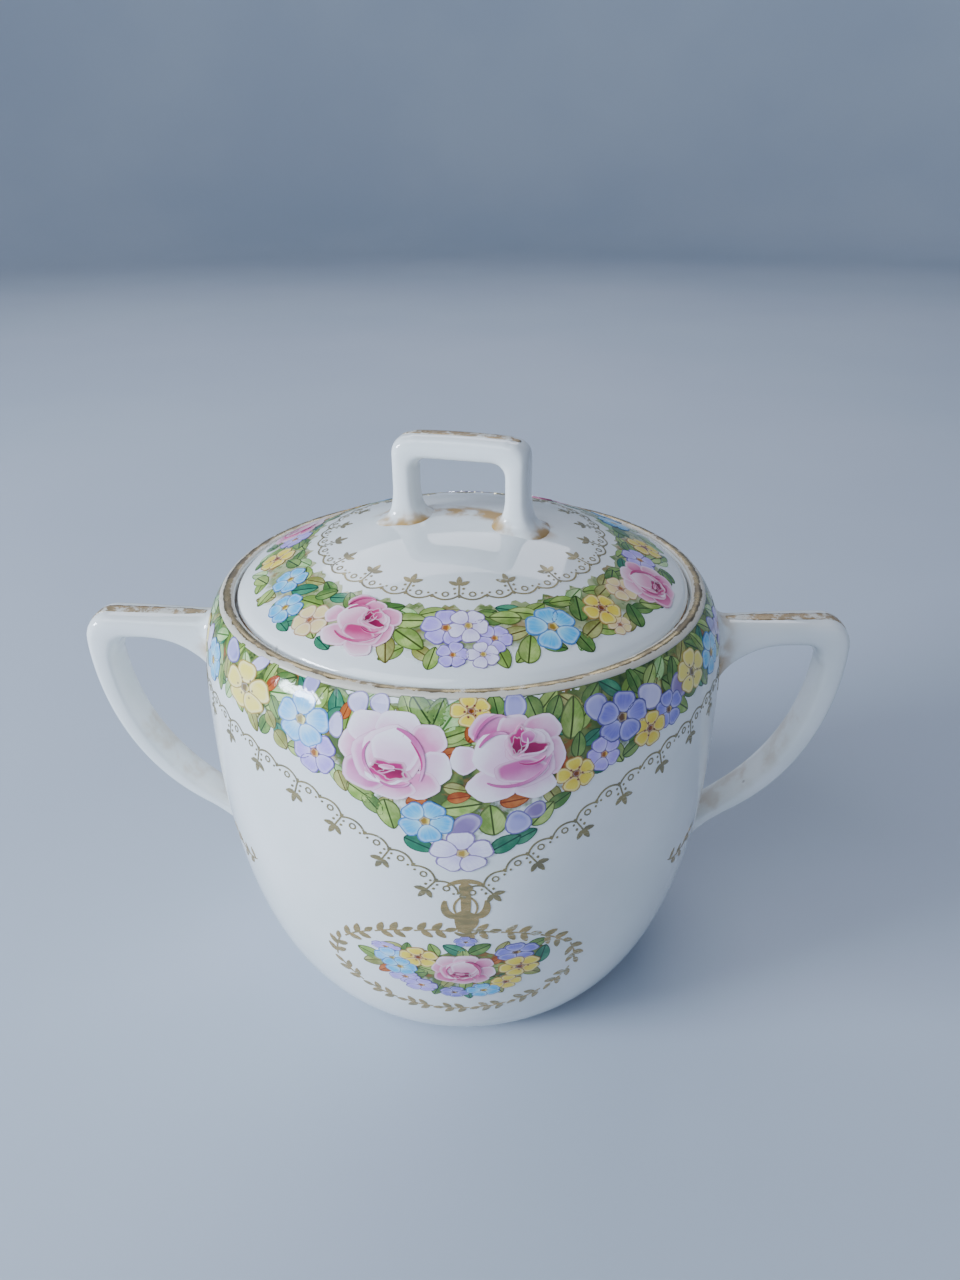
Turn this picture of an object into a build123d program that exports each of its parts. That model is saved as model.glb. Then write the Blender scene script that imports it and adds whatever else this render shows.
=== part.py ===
"""A lidded porcelain sugar bowl with two ear handles, built piece by piece.

Frame: the origin is on the table under the middle of the foot, +Z is up,
+X runs through the right handle and +Y to the back. All sizes are in mm.
"""

import os
from math import asin, degrees, sqrt

from build123d import *

os.makedirs("parts", exist_ok=True)

# ---------------------------------------------------------------- bowl sizes
belly_radius = 46.3        # widest radius of the bowl
belly_height = 56.0        # height of the widest place
rim_height = 80.2          # highest line of the rim
rim_radius = 42.2          # outer edge of the rounded lip
lip_width = 2.3            # lip, from its outer edge to the lid's recess
lip_drop = 0.5             # how far the lip's edges lie under its crown
foot_radius = 27.4         # outer edge of the ring that stands on the table
foot_ring_width = 3.8      # flat width of that ring
foot_recess = 1.6          # hollow inside the ring
floor_thickness = 3.2      # porcelain between the recess and the inside
wall = 2.8                 # side of the bowl
seat_depth = 2.6           # from the crown of the lip down to the lid's seat
seat_width = 3.7           # flat ledge that carries the lid
ledge_thickness = 3.0      # porcelain under the ledge
foot_flare = 12.2          # how far the bowl turns out over its foot
foot_rise = 3.5            # and how little it climbs while doing so
lower_fullness = 28.0      # length of the straight pull below the belly
shoulder_fullness = 10.0   # length of the straight pull above the belly
shoulder_round = 4.0       # tightness of the shoulder under the lip

# ----------------------------------------------------------------- lid sizes
lid_clearance = 0.5        # gap between the lid's edge and the lip
lid_edge_thickness = 2.7   # upright edge of the lid
lid_edge_round = 0.9       # rounding of its upper corner
dome_rise = 10.5           # from the top of the edge to the crown
lid_wall = 2.8             # thickness of the dome
collar_clearance = 0.8     # gap between the locating collar and the mouth
collar_wall = 2.6          # thickness of the collar
collar_depth = 5.0         # how far the collar hangs under the seat
collar_round = 0.8         # rounding of the collar's lower edges

# ---------------------------------------------------------- lid handle sizes
lid_turn = -13.0           # degrees, how the lid lies turned in the bowl
lid_handle_width = 23.8    # over the two posts
lid_handle_height = 14.6   # from the dome's crown to the top of the bar
lid_handle_depth = 6.4     # front to back
lid_bar_thickness = 4.2    # bar over the gap
lid_post_thickness = 4.0   # each post
lid_post_spread = 2.0      # how far a post's foot spreads
lid_post_spread_height = 4.2
lid_post_sink = 3.0        # how far a post runs on before it is trimmed
lid_bar_corner = 2.6       # outer corner radius
lid_gap_corner = 2.0       # corner radius of the gap
lid_handle_round = 1.3     # softened edges
crown_radius = 170.0       # the bar's top is slightly crowned

# --------------------------------------------------------- side handle sizes
handle_reach = 23.3        # from the belly to the handle's outermost line
handle_drop = 7.6          # from the rim down to the handle's flat top
handle_slope = 0.9         # the top arm rises this much towards its corner
handle_depth = 8.0         # front to back
handle_arm = 4.8           # thickness of the top arm and of the outer leg
handle_round = 1.2         # softened edges
handle_corner = 5.0        # outer corner, between the arm and the leg
handle_gap_corner = 2.6    # the same corner inside the gap
handle_trim = 8.3          # how far a root runs on before it is trimmed
handle_foot_height = 26.0  # where the leg's inner line reaches the bowl
handle_foot_depth = 14.0   # how much lower its outer line reaches the bowl

# ------------------------------------------------------------- gilding sizes
gilding = 0.08             # thickness of the burnished gold
rim_gilding_share = 0.92   # share of the lip that is gilded
lid_gilding_height = 0.9   # gold line round the lid's upright edge
handle_gilding_width = 4.6  # gold strip on top of a side handle
lid_gilding_width = 3.2    # gold strip on top of the lid's handle

# ------------------------------------------------------------- worked out
lip_inner_radius = rim_radius - lip_width
seat_height = rim_height - seat_depth
mouth_radius = lip_inner_radius - seat_width
lip_edge_height = rim_height - lip_drop
inside_floor = foot_recess + floor_thickness
lid_radius = lip_inner_radius - lid_clearance
lid_edge_top = seat_height + lid_edge_thickness
dome_top = lid_edge_top + dome_rise
collar_outer = mouth_radius - collar_clearance
collar_inner = collar_outer - collar_wall
collar_bottom = seat_height - collar_depth


def circle_radius(half_chord, sagitta):
    """Radius of the arc that stands sagitta high over a chord."""
    return (half_chord**2 + sagitta**2) / (2 * sagitta)


dome_radius = circle_radius(lid_radius, dome_rise)
dome_centre = dome_top - dome_radius
lip_radius = circle_radius(lip_width / 2, lip_drop)
lip_middle = rim_radius - lip_width / 2
lip_centre = rim_height - lip_radius

# every turned piece is drawn on the plane that runs to the back, which keeps
# its seam away from the handles
section = Plane.YZ


def dome_height(radius, inset=0.0):
    """Height of the dome, or of a surface inset below it, at a radius."""
    return dome_centre + sqrt((dome_radius - inset) ** 2 - radius**2)


# control points of the bowl's outside, foot to belly and belly to lip
foot_pull = (foot_radius + foot_flare, foot_rise)
lower_pull = (belly_radius, belly_height - lower_fullness)
belly = (belly_radius, belly_height)
upper_pull = (belly_radius, belly_height + shoulder_fullness)
shoulder_pull = (rim_radius + shoulder_round, lip_edge_height - 1.05 * shoulder_round)
lip_edge = (rim_radius, lip_edge_height)


# --------------------------------------------------------- bowl, filled form
# A solid with the bowl's outside: the handles are trimmed by it, so that
# they meet the bowl face to face. It is not exported.
with BuildPart() as bowl_form:
    with BuildSketch(section):
        with BuildLine():
            Line((0, 0), (foot_radius, 0))
            Bezier((foot_radius, 0), foot_pull, lower_pull, belly)
            Bezier(belly, upper_pull, shoulder_pull, lip_edge)
            ThreePointArc(lip_edge, (lip_middle, rim_height), (lip_inner_radius, lip_edge_height))
            Polyline((lip_inner_radius, lip_edge_height), (0, lip_edge_height), (0, 0))
        make_face()
    revolve(axis=Axis.Z)

# --------------------------------------------------------------- bowl, body
# The outside as above; inside there is a flat ledge for the lid, a straight
# mouth, and then a hollow that keeps one wall's distance from the outside.
with BuildPart() as bowl_body:
    with BuildSketch(section):
        with BuildLine():
            Line((foot_radius - foot_ring_width, 0), (foot_radius, 0))
            Bezier((foot_radius, 0), foot_pull, lower_pull, belly)
            Bezier(belly, upper_pull, shoulder_pull, lip_edge)
            ThreePointArc(lip_edge, (lip_middle, rim_height), (lip_inner_radius, lip_edge_height))
            Polyline(
                (lip_inner_radius, lip_edge_height),
                (lip_inner_radius, seat_height),
                (mouth_radius, seat_height),
                (mouth_radius, seat_height - ledge_thickness),
            )
            Bezier(
                (mouth_radius, seat_height - ledge_thickness),
                (shoulder_pull[0] - wall - seat_width / 2, seat_height - ledge_thickness - 0.6),
                (belly_radius - wall, belly_height + shoulder_fullness),
                (belly_radius - wall, belly_height),
            )
            Bezier(
                (belly_radius - wall, belly_height),
                (lower_pull[0] - wall, lower_pull[1] + wall / 2),
                (foot_pull[0] - wall / 2, inside_floor),
                (foot_radius, inside_floor),
            )
            Polyline(
                (foot_radius, inside_floor),
                (0, inside_floor),
                (0, foot_recess),
                (foot_radius - foot_ring_width - foot_recess / 2, foot_recess),
                (foot_radius - foot_ring_width, 0),
            )
        make_face()
    revolve(axis=Axis.Z)

# ------------------------------------------------------------- side handles
# An ear: a flat top arm with a rounded square corner, a long leg that curves
# in under it, and a root that runs out down the side of the bowl.
arm_top = rim_height - handle_drop
arm_underside = arm_top - handle_arm
outer_line = belly_radius + handle_reach
inner_line = outer_line - handle_arm
trim_radius = belly_radius - handle_trim
leg_knee = Vector(belly_radius + 5.7, handle_foot_height + 5.5)
leg_run = Vector(12.0, 7.5)
gap_height = arm_top - handle_foot_height
root_end = (trim_radius - 1.5, handle_foot_height - handle_foot_depth)
crook = (trim_radius + 1.5, handle_foot_height)
arm_end = (trim_radius + 4.5, arm_underside - 16.0)
upper_leg = (outer_line, arm_top - handle_corner)
inner_leg = (inner_line, arm_underside - handle_gap_corner)
arm_flat = (inner_line - 3.0, arm_underside)

with BuildPart() as right_handle:
    with BuildSketch(Plane.XZ) as ear:
        with BuildLine():
            top_line = Line((trim_radius, arm_top - handle_slope), (outer_line, arm_top))
            Line(top_line @ 1, upper_leg)
            Bezier(
                upper_leg,
                (outer_line, arm_top - 0.42 * gap_height),
                leg_knee + leg_run,
                leg_knee,
            )
            Bezier(
                leg_knee,
                leg_knee - leg_run * 0.32,
                (belly_radius - 2.3, handle_foot_height - 1.0),
                root_end,
            )
            Polyline(root_end, (root_end[0] - handle_trim, root_end[1]), crook)
            Bezier(
                crook,
                (belly_radius + 7.7, handle_foot_height + 9.0),
                (inner_line, handle_foot_height + 20.5),
                inner_leg,
            )
            Polyline(inner_leg, (inner_line, arm_underside), arm_flat)
            Bezier(
                arm_flat,
                (inner_line - 9.5, arm_underside),
                (belly_radius + 3.2, arm_underside),
                arm_end,
            )
            Line(arm_end, top_line @ 0)
        make_face()
        outer_corner = ear.vertices().filter_by(lambda v: v.X > outer_line - 0.01 and v.Y > arm_top - 0.01)
        fillet(outer_corner, radius=0.94 * handle_corner)
        gap_corner = ear.vertices().filter_by(
            lambda v: abs(v.X - inner_line) < 0.01 and abs(v.Y - arm_underside) < 0.01
        )
        fillet(gap_corner, radius=0.94 * handle_gap_corner)
    extrude(amount=handle_depth / 2, both=True)
    outline_edges = right_handle.faces().filter_by(Axis.Y).edges()
    soft_edges = outline_edges.filter_by(lambda edge: edge.center().X > trim_radius + 3.5)
    fillet(soft_edges, radius=min(handle_round, handle_arm / 4, handle_depth / 3))
    add(bowl_form.part, mode=Mode.SUBTRACT)

with BuildPart() as left_handle:
    add(right_handle.part)
    mirror(about=Plane.YZ, mode=Mode.REPLACE)

# ---------------------------------------------------- gilding on the handles
strip_start = belly_radius + 2.5
strip_end = outer_line - handle_corner - 1.0
slope_per_mm = handle_slope / (outer_line - trim_radius)


def arm_height(x):
    """Height of the top arm's flat line at x."""
    return arm_top - (outer_line - x) * slope_per_mm


with BuildPart() as right_handle_gilding:
    with BuildSketch(Plane.XZ):
        with BuildLine():
            Polyline(
                (strip_start, arm_height(strip_start)),
                (strip_end, arm_height(strip_end)),
                (strip_end, arm_height(strip_end) + gilding),
                (strip_start, arm_height(strip_start) + gilding),
                close=True,
            )
        make_face()
    extrude(amount=handle_gilding_width / 2, both=True)

with BuildPart() as left_handle_gilding:
    add(right_handle_gilding.part)
    mirror(about=Plane.YZ, mode=Mode.REPLACE)

# -------------------------------------------------------- gilding on the rim
# A skin of gold over the crown of the lip, thinner than paper.
half_angle = degrees(asin(lip_width / 2 / lip_radius)) * rim_gilding_share

with BuildPart() as bowl_rim_gilding:
    with BuildSketch(section):
        with BuildLine():
            under = CenterArc((lip_middle, lip_centre), lip_radius, 90 - half_angle, 2 * half_angle)
            over = CenterArc(
                (lip_middle, lip_centre), lip_radius + gilding, 90 - half_angle, 2 * half_angle
            )
            Line(under @ 0, over @ 0)
            Line(under @ 1, over @ 1)
        make_face()
    revolve(axis=Axis.Z)

# --------------------------------------------------------- lid, filled form
# A solid with the lid's outside, used only to trim the lid's handle.
with BuildPart() as lid_form:
    with BuildSketch(section):
        with BuildLine():
            Line((0, seat_height), (lid_radius, seat_height))
            Line((lid_radius, seat_height), (lid_radius, lid_edge_top))
            ThreePointArc(
                (lid_radius, lid_edge_top),
                (lid_radius / 2, dome_height(lid_radius / 2)),
                (0, dome_top),
            )
            Line((0, dome_top), (0, seat_height))
        make_face()
    revolve(axis=Axis.Z)

# ---------------------------------------------------------------- lid, dome
# A low dome with an upright edge, a flat ring that rests on the ledge and a
# collar that keeps the lid from sliding off. It is hollow underneath.
underside_top = dome_top - lid_wall
underside_edge = dome_height(collar_inner, lid_wall)

with BuildPart() as lid_dome:
    with BuildSketch(section) as lid_section:
        with BuildLine():
            ThreePointArc(
                (0, dome_top),
                (lid_radius / 2, dome_height(lid_radius / 2)),
                (lid_radius, lid_edge_top),
            )
            Polyline(
                (lid_radius, lid_edge_top),
                (lid_radius, seat_height),
                (collar_outer, seat_height),
                (collar_outer, collar_bottom),
                (collar_inner, collar_bottom),
                (collar_inner, underside_edge),
            )
            ThreePointArc(
                (collar_inner, underside_edge),
                (collar_inner / 2, dome_height(collar_inner / 2, lid_wall)),
                (0, underside_top),
            )
            Line((0, underside_top), (0, dome_top))
        make_face()
        corners = lid_section.vertices()
        top_corner = corners.filter_by(lambda v: v.X > lid_radius - 0.01 and v.Y > seat_height + 1)
        fillet(top_corner, radius=min(lid_edge_round, lid_edge_thickness / 3))
        low_corners = lid_section.vertices().filter_by(lambda v: v.Y < collar_bottom + 0.01)
        fillet(low_corners, radius=min(collar_round, collar_wall / 3))
    revolve(axis=Axis.Z)

# -------------------------------------------------------------- lid, handle
# A squared arch: two posts that spread where they join the dome, and a bar
# with a slightly crowned top. The lid lies turned in the bowl.
lid_plane = Plane(
    origin=(0, 0, 0),
    x_dir=Vector(1, 0, 0).rotate(Axis.Z, lid_turn),
    z_dir=Vector(0, -1, 0).rotate(Axis.Z, lid_turn),
)
half_width = lid_handle_width / 2
half_gap = half_width - lid_post_thickness
bar_top = dome_top + lid_handle_height
bar_underside = bar_top - lid_bar_thickness
crown_centre = bar_top - crown_radius
crown_edge = crown_centre + sqrt(crown_radius**2 - half_width**2)
post_base = dome_top - lid_post_sink
spread_top = dome_top + lid_post_spread_height

with BuildPart() as lid_handle:
    with BuildSketch(lid_plane) as arch:
        with BuildLine():
            ThreePointArc((-half_width, crown_edge), (0, bar_top), (half_width, crown_edge))
            Polyline(
                (half_width, crown_edge),
                (half_width, spread_top),
                (half_width + lid_post_spread, post_base),
                (half_gap - lid_post_spread, post_base),
                (half_gap, spread_top),
                (half_gap, bar_underside),
                (-half_gap, bar_underside),
                (-half_gap, spread_top),
                (-half_gap + lid_post_spread, post_base),
                (-half_width - lid_post_spread, post_base),
                (-half_width, spread_top),
                (-half_width, crown_edge),
            )
        make_face()
        outer_corners = arch.vertices().filter_by(lambda v: v.Y > bar_underside + 1)
        fillet(outer_corners, radius=min(lid_bar_corner, lid_bar_thickness * 0.8))
        gap_corners = arch.vertices().filter_by(lambda v: abs(v.Y - bar_underside) < 0.01)
        fillet(gap_corners, radius=min(lid_gap_corner, lid_bar_thickness / 2))
        knees = arch.vertices().filter_by(lambda v: abs(v.Y - spread_top) < 0.01)
        fillet(knees, radius=lid_post_spread_height)
    extrude(amount=lid_handle_depth / 2, both=True)
    flat_faces = lid_handle.faces().filter_by(lambda f: abs(f.normal_at().dot(lid_plane.z_dir)) > 0.99)
    arch_edges = flat_faces.edges().filter_by(lambda e: e.center().Z > post_base + 0.01)
    fillet(arch_edges, radius=min(lid_handle_round, lid_post_thickness / 3.05))
    add(lid_form.part, mode=Mode.SUBTRACT)

# ------------------------------------------------------- gilding on the lid
crown_half_angle = degrees(asin((half_width - lid_bar_corner - 0.6) / crown_radius))

with BuildPart() as lid_handle_gilding:
    with BuildSketch(lid_plane):
        with BuildLine():
            lower_arc = CenterArc(
                (0, crown_centre), crown_radius, 90 - crown_half_angle, 2 * crown_half_angle
            )
            upper_arc = CenterArc(
                (0, crown_centre), crown_radius + gilding, 90 - crown_half_angle, 2 * crown_half_angle
            )
            Line(lower_arc @ 0, upper_arc @ 0)
            Line(lower_arc @ 1, upper_arc @ 1)
        make_face()
    extrude(amount=min(lid_gilding_width, lid_handle_depth - 2 * lid_handle_round) / 2, both=True)

line_top = lid_edge_top - lid_edge_round - 0.1
with BuildPart() as lid_edge_gilding:
    with BuildSketch(section):
        with BuildLine():
            Polyline(
                (lid_radius, line_top - lid_gilding_height),
                (lid_radius + gilding, line_top - lid_gilding_height),
                (lid_radius + gilding, line_top),
                (lid_radius, line_top),
                close=True,
            )
        make_face()
    revolve(axis=Axis.Z)

# --------------------------------------------------------------- export
pieces = {
    "bowl_body": bowl_body,
    "left_handle": left_handle,
    "right_handle": right_handle,
    "bowl_rim_gilding": bowl_rim_gilding,
    "left_handle_gilding": left_handle_gilding,
    "right_handle_gilding": right_handle_gilding,
    "lid_dome": lid_dome,
    "lid_handle": lid_handle,
    "lid_edge_gilding": lid_edge_gilding,
    "lid_handle_gilding": lid_handle_gilding,
}

for name, piece in pieces.items():
    piece.part.label = name
    export_step(piece.part, f"parts/{name}.step")
    print(name, len(piece.part.solids()), "solid,", round(piece.part.volume, 2), "mm3")
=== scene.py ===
# %% [markdown]
# # A lidded porcelain sugar bowl
# The bowl, its lid and their handles are cast porcelain under a glossy glaze.
# Flowers are printed over the glaze in enamel, and the trims are thin gold.
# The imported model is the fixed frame: each piece below is built in that
# frame, in millimetres, and scaled to metres as its mesh is made.

# %% Load the frame
from math import atan2, cos, degrees, hypot, pi, radians, sin, sqrt

import bmesh
import bpy
import numpy as np
from mathutils import Matrix, Vector


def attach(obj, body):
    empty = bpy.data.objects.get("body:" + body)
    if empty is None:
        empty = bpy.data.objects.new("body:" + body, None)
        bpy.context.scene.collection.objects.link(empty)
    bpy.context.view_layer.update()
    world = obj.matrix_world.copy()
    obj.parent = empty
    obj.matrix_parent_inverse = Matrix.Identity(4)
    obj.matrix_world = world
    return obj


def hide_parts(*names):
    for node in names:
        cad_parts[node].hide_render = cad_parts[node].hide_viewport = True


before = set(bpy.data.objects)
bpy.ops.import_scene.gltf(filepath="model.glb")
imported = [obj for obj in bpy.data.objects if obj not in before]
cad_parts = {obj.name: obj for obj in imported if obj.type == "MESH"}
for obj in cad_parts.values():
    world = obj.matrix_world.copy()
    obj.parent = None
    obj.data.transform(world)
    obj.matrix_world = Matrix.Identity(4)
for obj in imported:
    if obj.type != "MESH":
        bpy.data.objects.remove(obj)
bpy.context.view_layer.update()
MM = 0.001
scene = bpy.context.scene
print("CAD nodes:", sorted(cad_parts))

# %% [markdown]
# ## Two small helpers for node trees
# Materials and Geometry Nodes are both trees of nodes. One helper adds a
# node and feeds its sockets, so that each tree below reads as a recipe.

# %% Node helpers
def add_node(tree, kind, feeds=None, **settings):
    """Adds a node; a feed is another node's output or a plain value."""
    node = tree.nodes.new(kind)
    for name, value in settings.items():
        setattr(node, name, value)
    for key, feed in (feeds or {}).items():
        if isinstance(feed, bpy.types.NodeSocket):
            tree.links.new(feed, node.inputs[key])
        else:
            node.inputs[key].default_value = feed
    return node


def number(tree, operation, a, b=0.0):
    """A Math node's result."""
    return add_node(tree, "ShaderNodeMath", {0: a, 1: b}, operation=operation).outputs[0]


def times(tree, a, b):
    return number(tree, "MULTIPLY", a, b)


def plus(tree, a, b):
    return number(tree, "ADD", a, b)


def pigment(code):
    """A colour given as a web code, in Blender's linear values."""
    parts = [int(code[i:i + 2], 16) / 255 for i in (0, 2, 4)]
    return tuple(p / 12.92 if p <= 0.04045 else ((p + 0.055) / 1.055) ** 2.4 for p in parts) + (1.0,)


# %% [markdown]
# ## Glaze
# Old glaze is cool white and very glossy, but never perfect: it ripples a
# little, carries iron specks, and has gathered brown stain where two clay
# parts meet; the warm brown along the ears' undersides is part stain and part
# painted warm reflection. Where it lies comes from an attribute on the mesh;
# noise makes it patchy and breaks its edge.

# %% Porcelain glaze
def mix_colours(tree, amount, first, second):
    return add_node(tree, "ShaderNodeMix", {0: amount, 6: first, 7: second}, data_type="RGBA").outputs[2]


def ramp(tree, feed, low, high, to_low=0.0, to_high=1.0):
    """Maps a value smoothly from one range to another."""
    return add_node(
        tree, "ShaderNodeMapRange",
        {0: feed, 1: low, 2: high, 3: to_low, 4: to_high},
        interpolation_type="SMOOTHSTEP").outputs[0]


def new_finish(name, roughness, **plain):
    """An empty material with its shader, object coordinates and output."""
    material = bpy.data.materials.new(name)
    material.use_nodes = True
    tree = material.node_tree
    tree.nodes.clear()
    shader = add_node(tree, "ShaderNodeBsdfPrincipled", {"Roughness": roughness, **plain})
    output = add_node(tree, "ShaderNodeOutputMaterial")
    tree.links.new(shader.outputs[0], output.inputs[0])
    place = add_node(tree, "ShaderNodeTexCoord").outputs["Object"]
    return material, tree, shader, place


def grain(tree, place, scale, detail=3.0, rough=0.55):
    return add_node(tree, "ShaderNodeTexNoise",
        {"Vector": place, "Scale": scale, "Detail": detail, "Roughness": rough}).outputs["Fac"]


def attribute(tree, name, output="Fac"):
    return add_node(tree, "ShaderNodeAttribute", attribute_name=name).outputs[output]


def make_glaze():
    material, tree, shader, place = new_finish("porcelain_glaze", 0.1, IOR=1.52)
    cloud = ramp(tree, grain(tree, place, 55.0), 0.35, 0.7)
    white = mix_colours(tree, cloud, pigment("eef1f0"), pigment("e6ebe9"))
    specks = add_node(tree, "ShaderNodeTexVoronoi", {"Vector": place, "Scale": 130.0}).outputs["Distance"]
    rare = ramp(tree, grain(tree, place, 95.0, 1.0), 0.6, 0.66)
    speck = times(tree, ramp(tree, specks, 0.07, 0.03), rare)
    white = mix_colours(tree, times(tree, speck, 0.5), white, pigment("6a6058"))
    patches = ramp(tree, grain(tree, place, 170.0, 3.0), 0.38, 0.62, 0.3, 1.35)
    # The attribute carries real stain, and on the ears' undersides a painted warm reflection too.
    patchy_stain_and_reflection = times(tree, attribute(tree, "stain_and_warm_reflection"), patches)
    ragged = plus(tree, patchy_stain_and_reflection, times(tree, grain(tree, place, 260.0, 4.0), 0.3))
    brown = ramp(tree, ragged, 0.22, 1.0)
    white = mix_colours(tree, brown, white, pigment("b08a48"))
    tree.links.new(white, shader.inputs["Base Color"])
    gloss = ramp(tree, grain(tree, place, 240.0, 4.0), 0.3, 0.75, 0.035, 0.085)
    tree.links.new(plus(tree, gloss, times(tree, brown, 0.3)),
        shader.inputs["Roughness"])
    ripple = add_node(tree, "ShaderNodeBump", {
        "Height": grain(tree, place, 70.0, 2.0), "Strength": 0.12, "Distance": 0.00025}).outputs[0]
    tree.links.new(ripple, shader.inputs["Normal"])
    return material


glaze = make_glaze()
print("made", glaze.name)

# %% [markdown]
# ## Worn gold
# The gold was laid on very thin and has rubbed away: it runs from olive
# gold through brown to the bare glaze. "wear" on the mesh says how much is
# gone; noise breaks it into scuffs along the line.

# %% Gold finishes
def make_gold(name, bright, dull, bare, wear, metal=0.85):
    """Gold whose scuffs run round the pot; "wear" is where it has gone."""
    material, tree, shader, place = new_finish(name, 0.3, IOR=1.5)
    bright, dull, bare = map(pigment, (bright, dull, bare))
    round_ = add_node(tree, "ShaderNodeMapping", {"Vector": place, "Scale": (1.0, 1.0, 5.0)}).outputs[0]
    streak = grain(tree, round_, 260.0, 6.0, 0.62)
    tone = mix_colours(tree, ramp(tree, streak, 0.42, 0.6), bright, dull)
    rubbed = plus(tree, attribute(tree, "wear"), grain(tree, round_, 420.0, 6.0, 0.7))
    gone = ramp(tree, rubbed, wear, wear + 0.1)
    tree.links.new(mix_colours(tree, gone, tone, bare), shader.inputs["Base Color"])
    tree.links.new(ramp(tree, gone, 0.0, 1.0, metal, 0.0), shader.inputs["Metallic"])
    tree.links.new(ramp(tree, streak, 0.3, 0.7, 0.2, 0.4), shader.inputs["Roughness"])
    scuff = add_node(tree, "ShaderNodeBump", {"Height": streak, "Strength": 0.3,
        "Distance": 0.00003}).outputs[0]
    tree.links.new(scuff, shader.inputs["Normal"])
    return material


rim_gold = make_gold("rim_gold", "9c8c66", "6a5f4a", "cfc8b8", 0.6)
edge_gold = make_gold("edge_gold", "c8904c", "8f6636", "dfe2de", 0.5)
strap_gold = make_gold("handle_gold", "b5986c", "94805c", "dcdad0", 0.47, 0.35)
lace_gold = make_gold("lace_gold", "9c8f66", "827a5e", "c9ccc2", 0.6, 0.45)
leaf_gold = make_gold("leaf_gold", "b89f6c", "988960", "c9ccc2", 0.62, 0.5)
print("made", rim_gold.name, edge_gold.name, lace_gold.name, leaf_gold.name)

# %% [markdown]
# ## The outlines
# The bowl and lid are turned, so each is ruled by one outline: its radius
# and height. The straight corners get a small arc, with a point just before
# and after it, so that smooth shading stays tight there.

# %% Outline helpers
def bend(p0, p1, p2, p3, steps):
    """Points along a Bezier curve, without its first."""
    t = np.linspace(0, 1, steps + 1)[1:, None]
    p0, p1, p2, p3 = map(np.array, (p0, p1, p2, p3))
    return list((1 - t) ** 3 * p0 + 3 * (1 - t) ** 2 * t * p1 + 3 * (1 - t) * t ** 2 * p2 + t ** 3 * p3)


CORNER_STEPS, ELBOW_STEPS = 5, 8      # points round an outline's corner and a strap's


def eased(points, radius):
    """A line with its inner corners rounded."""
    points = [np.array(p, float) for p in points]
    out = [points[0]]
    for before, corner, after in zip(points, points[1:], points[2:]):
        back, on = before - corner, after - corner
        reach = min(radius, np.linalg.norm(back) * 0.45, np.linalg.norm(on) * 0.45)
        a = corner + back / np.linalg.norm(back) * reach
        b = corner + on / np.linalg.norm(on) * reach
        out += [a + (a - corner) * 0.5, a]
        out += bend(a, a + (corner - a) * 0.55, b + (corner - b) * 0.55, b, CORNER_STEPS)
        out += [b + (b - corner) * 0.5]
    return out + [points[-1]]


def length_along(points):
    gaps = np.diff(np.array(points, float), axis=0)
    return np.r_[0, np.cumsum(np.sqrt((gaps ** 2).sum(axis=1)))]


# %% Bowl outline
FOOT_RADIUS, BELLY_RADIUS, BELLY_HEIGHT = 27.4, 46.3, 56.0
RIM_RADIUS, RIM_HEIGHT, LIP_WIDTH, LIP_DROP = 42.2, 80.2, 2.3, 0.5
SEAT_HEIGHT, MOUTH_RADIUS, LEDGE, WALL, FLOOR = 77.6, 36.2, 3.0, 2.8, 3.2
FOOT_RECESS, FOOT_RING = 1.6, 3.8
lip_top = RIM_HEIGHT - LIP_DROP
lip_inside = RIM_RADIUS - LIP_WIDTH
lip_middle = (RIM_RADIUS + lip_inside) / 2

outer_wall = [np.array((FOOT_RADIUS, 0.0))]
outer_wall += bend((FOOT_RADIUS, 0), (39.6, 3.5), (BELLY_RADIUS, 28), (BELLY_RADIUS, BELLY_HEIGHT), 56)
outer_wall += bend((BELLY_RADIUS, BELLY_HEIGHT), (BELLY_RADIUS, 66), (46.2, 75.5),
    (RIM_RADIUS, lip_top), 34)
bare_foot = eased([(0, FOOT_RECESS), (12, FOOT_RECESS), (FOOT_RADIUS - FOOT_RING - 0.8, FOOT_RECESS),
    (FOOT_RADIUS - FOOT_RING, 0), (FOOT_RADIUS, 0), tuple(outer_wall[1])], 0.35)[:-1]
lip = bend(outer_wall[-1], (RIM_RADIUS - 0.45, RIM_HEIGHT + 0.16), (lip_inside + 0.45, RIM_HEIGHT + 0.16),
    (lip_inside, lip_top), 12)
seat = eased([(lip_inside, lip_top), (lip_inside, SEAT_HEIGHT), (MOUTH_RADIUS, SEAT_HEIGHT),
    (MOUTH_RADIUS, SEAT_HEIGHT - LEDGE), (36.9, 74.45)], 0.3)[1:-1]
inside = bend((MOUTH_RADIUS, 74.5), (41.55, 74.0), (BELLY_RADIUS - WALL, 66),
    (BELLY_RADIUS - WALL, BELLY_HEIGHT), 18)
inside += bend((BELLY_RADIUS - WALL, BELLY_HEIGHT), (BELLY_RADIUS - WALL, 29.4), (38.2, 4.8),
    (FOOT_RADIUS, 4.8), 36)
inside += [np.array((r, FLOOR + FOOT_RECESS)) for r in (20.0, 12.0, 5.0, 0.0)]
bowl_outline = bare_foot + outer_wall[1:] + lip + seat + inside
print("bowl outline has", len(bowl_outline), "points")

# %% Lid outline
LID_RADIUS, LID_EDGE_TOP, DOME_TOP, LID_WALL = 39.4, 80.3, 90.8, 2.8
COLLAR_INNER, COLLAR_OUTER, COLLAR_BOTTOM, EDGE_ROUND = 32.8, 35.4, 72.6, 0.9
dome_rise = DOME_TOP - LID_EDGE_TOP
dome_radius = (LID_RADIUS ** 2 + dome_rise ** 2) / (2 * dome_rise)


def dome_height(radius, below=0.0):
    """Height of the dome, or of a dome parallel to it underneath."""
    return DOME_TOP - dome_radius + sqrt((dome_radius - below) ** 2 - radius ** 2)


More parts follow.
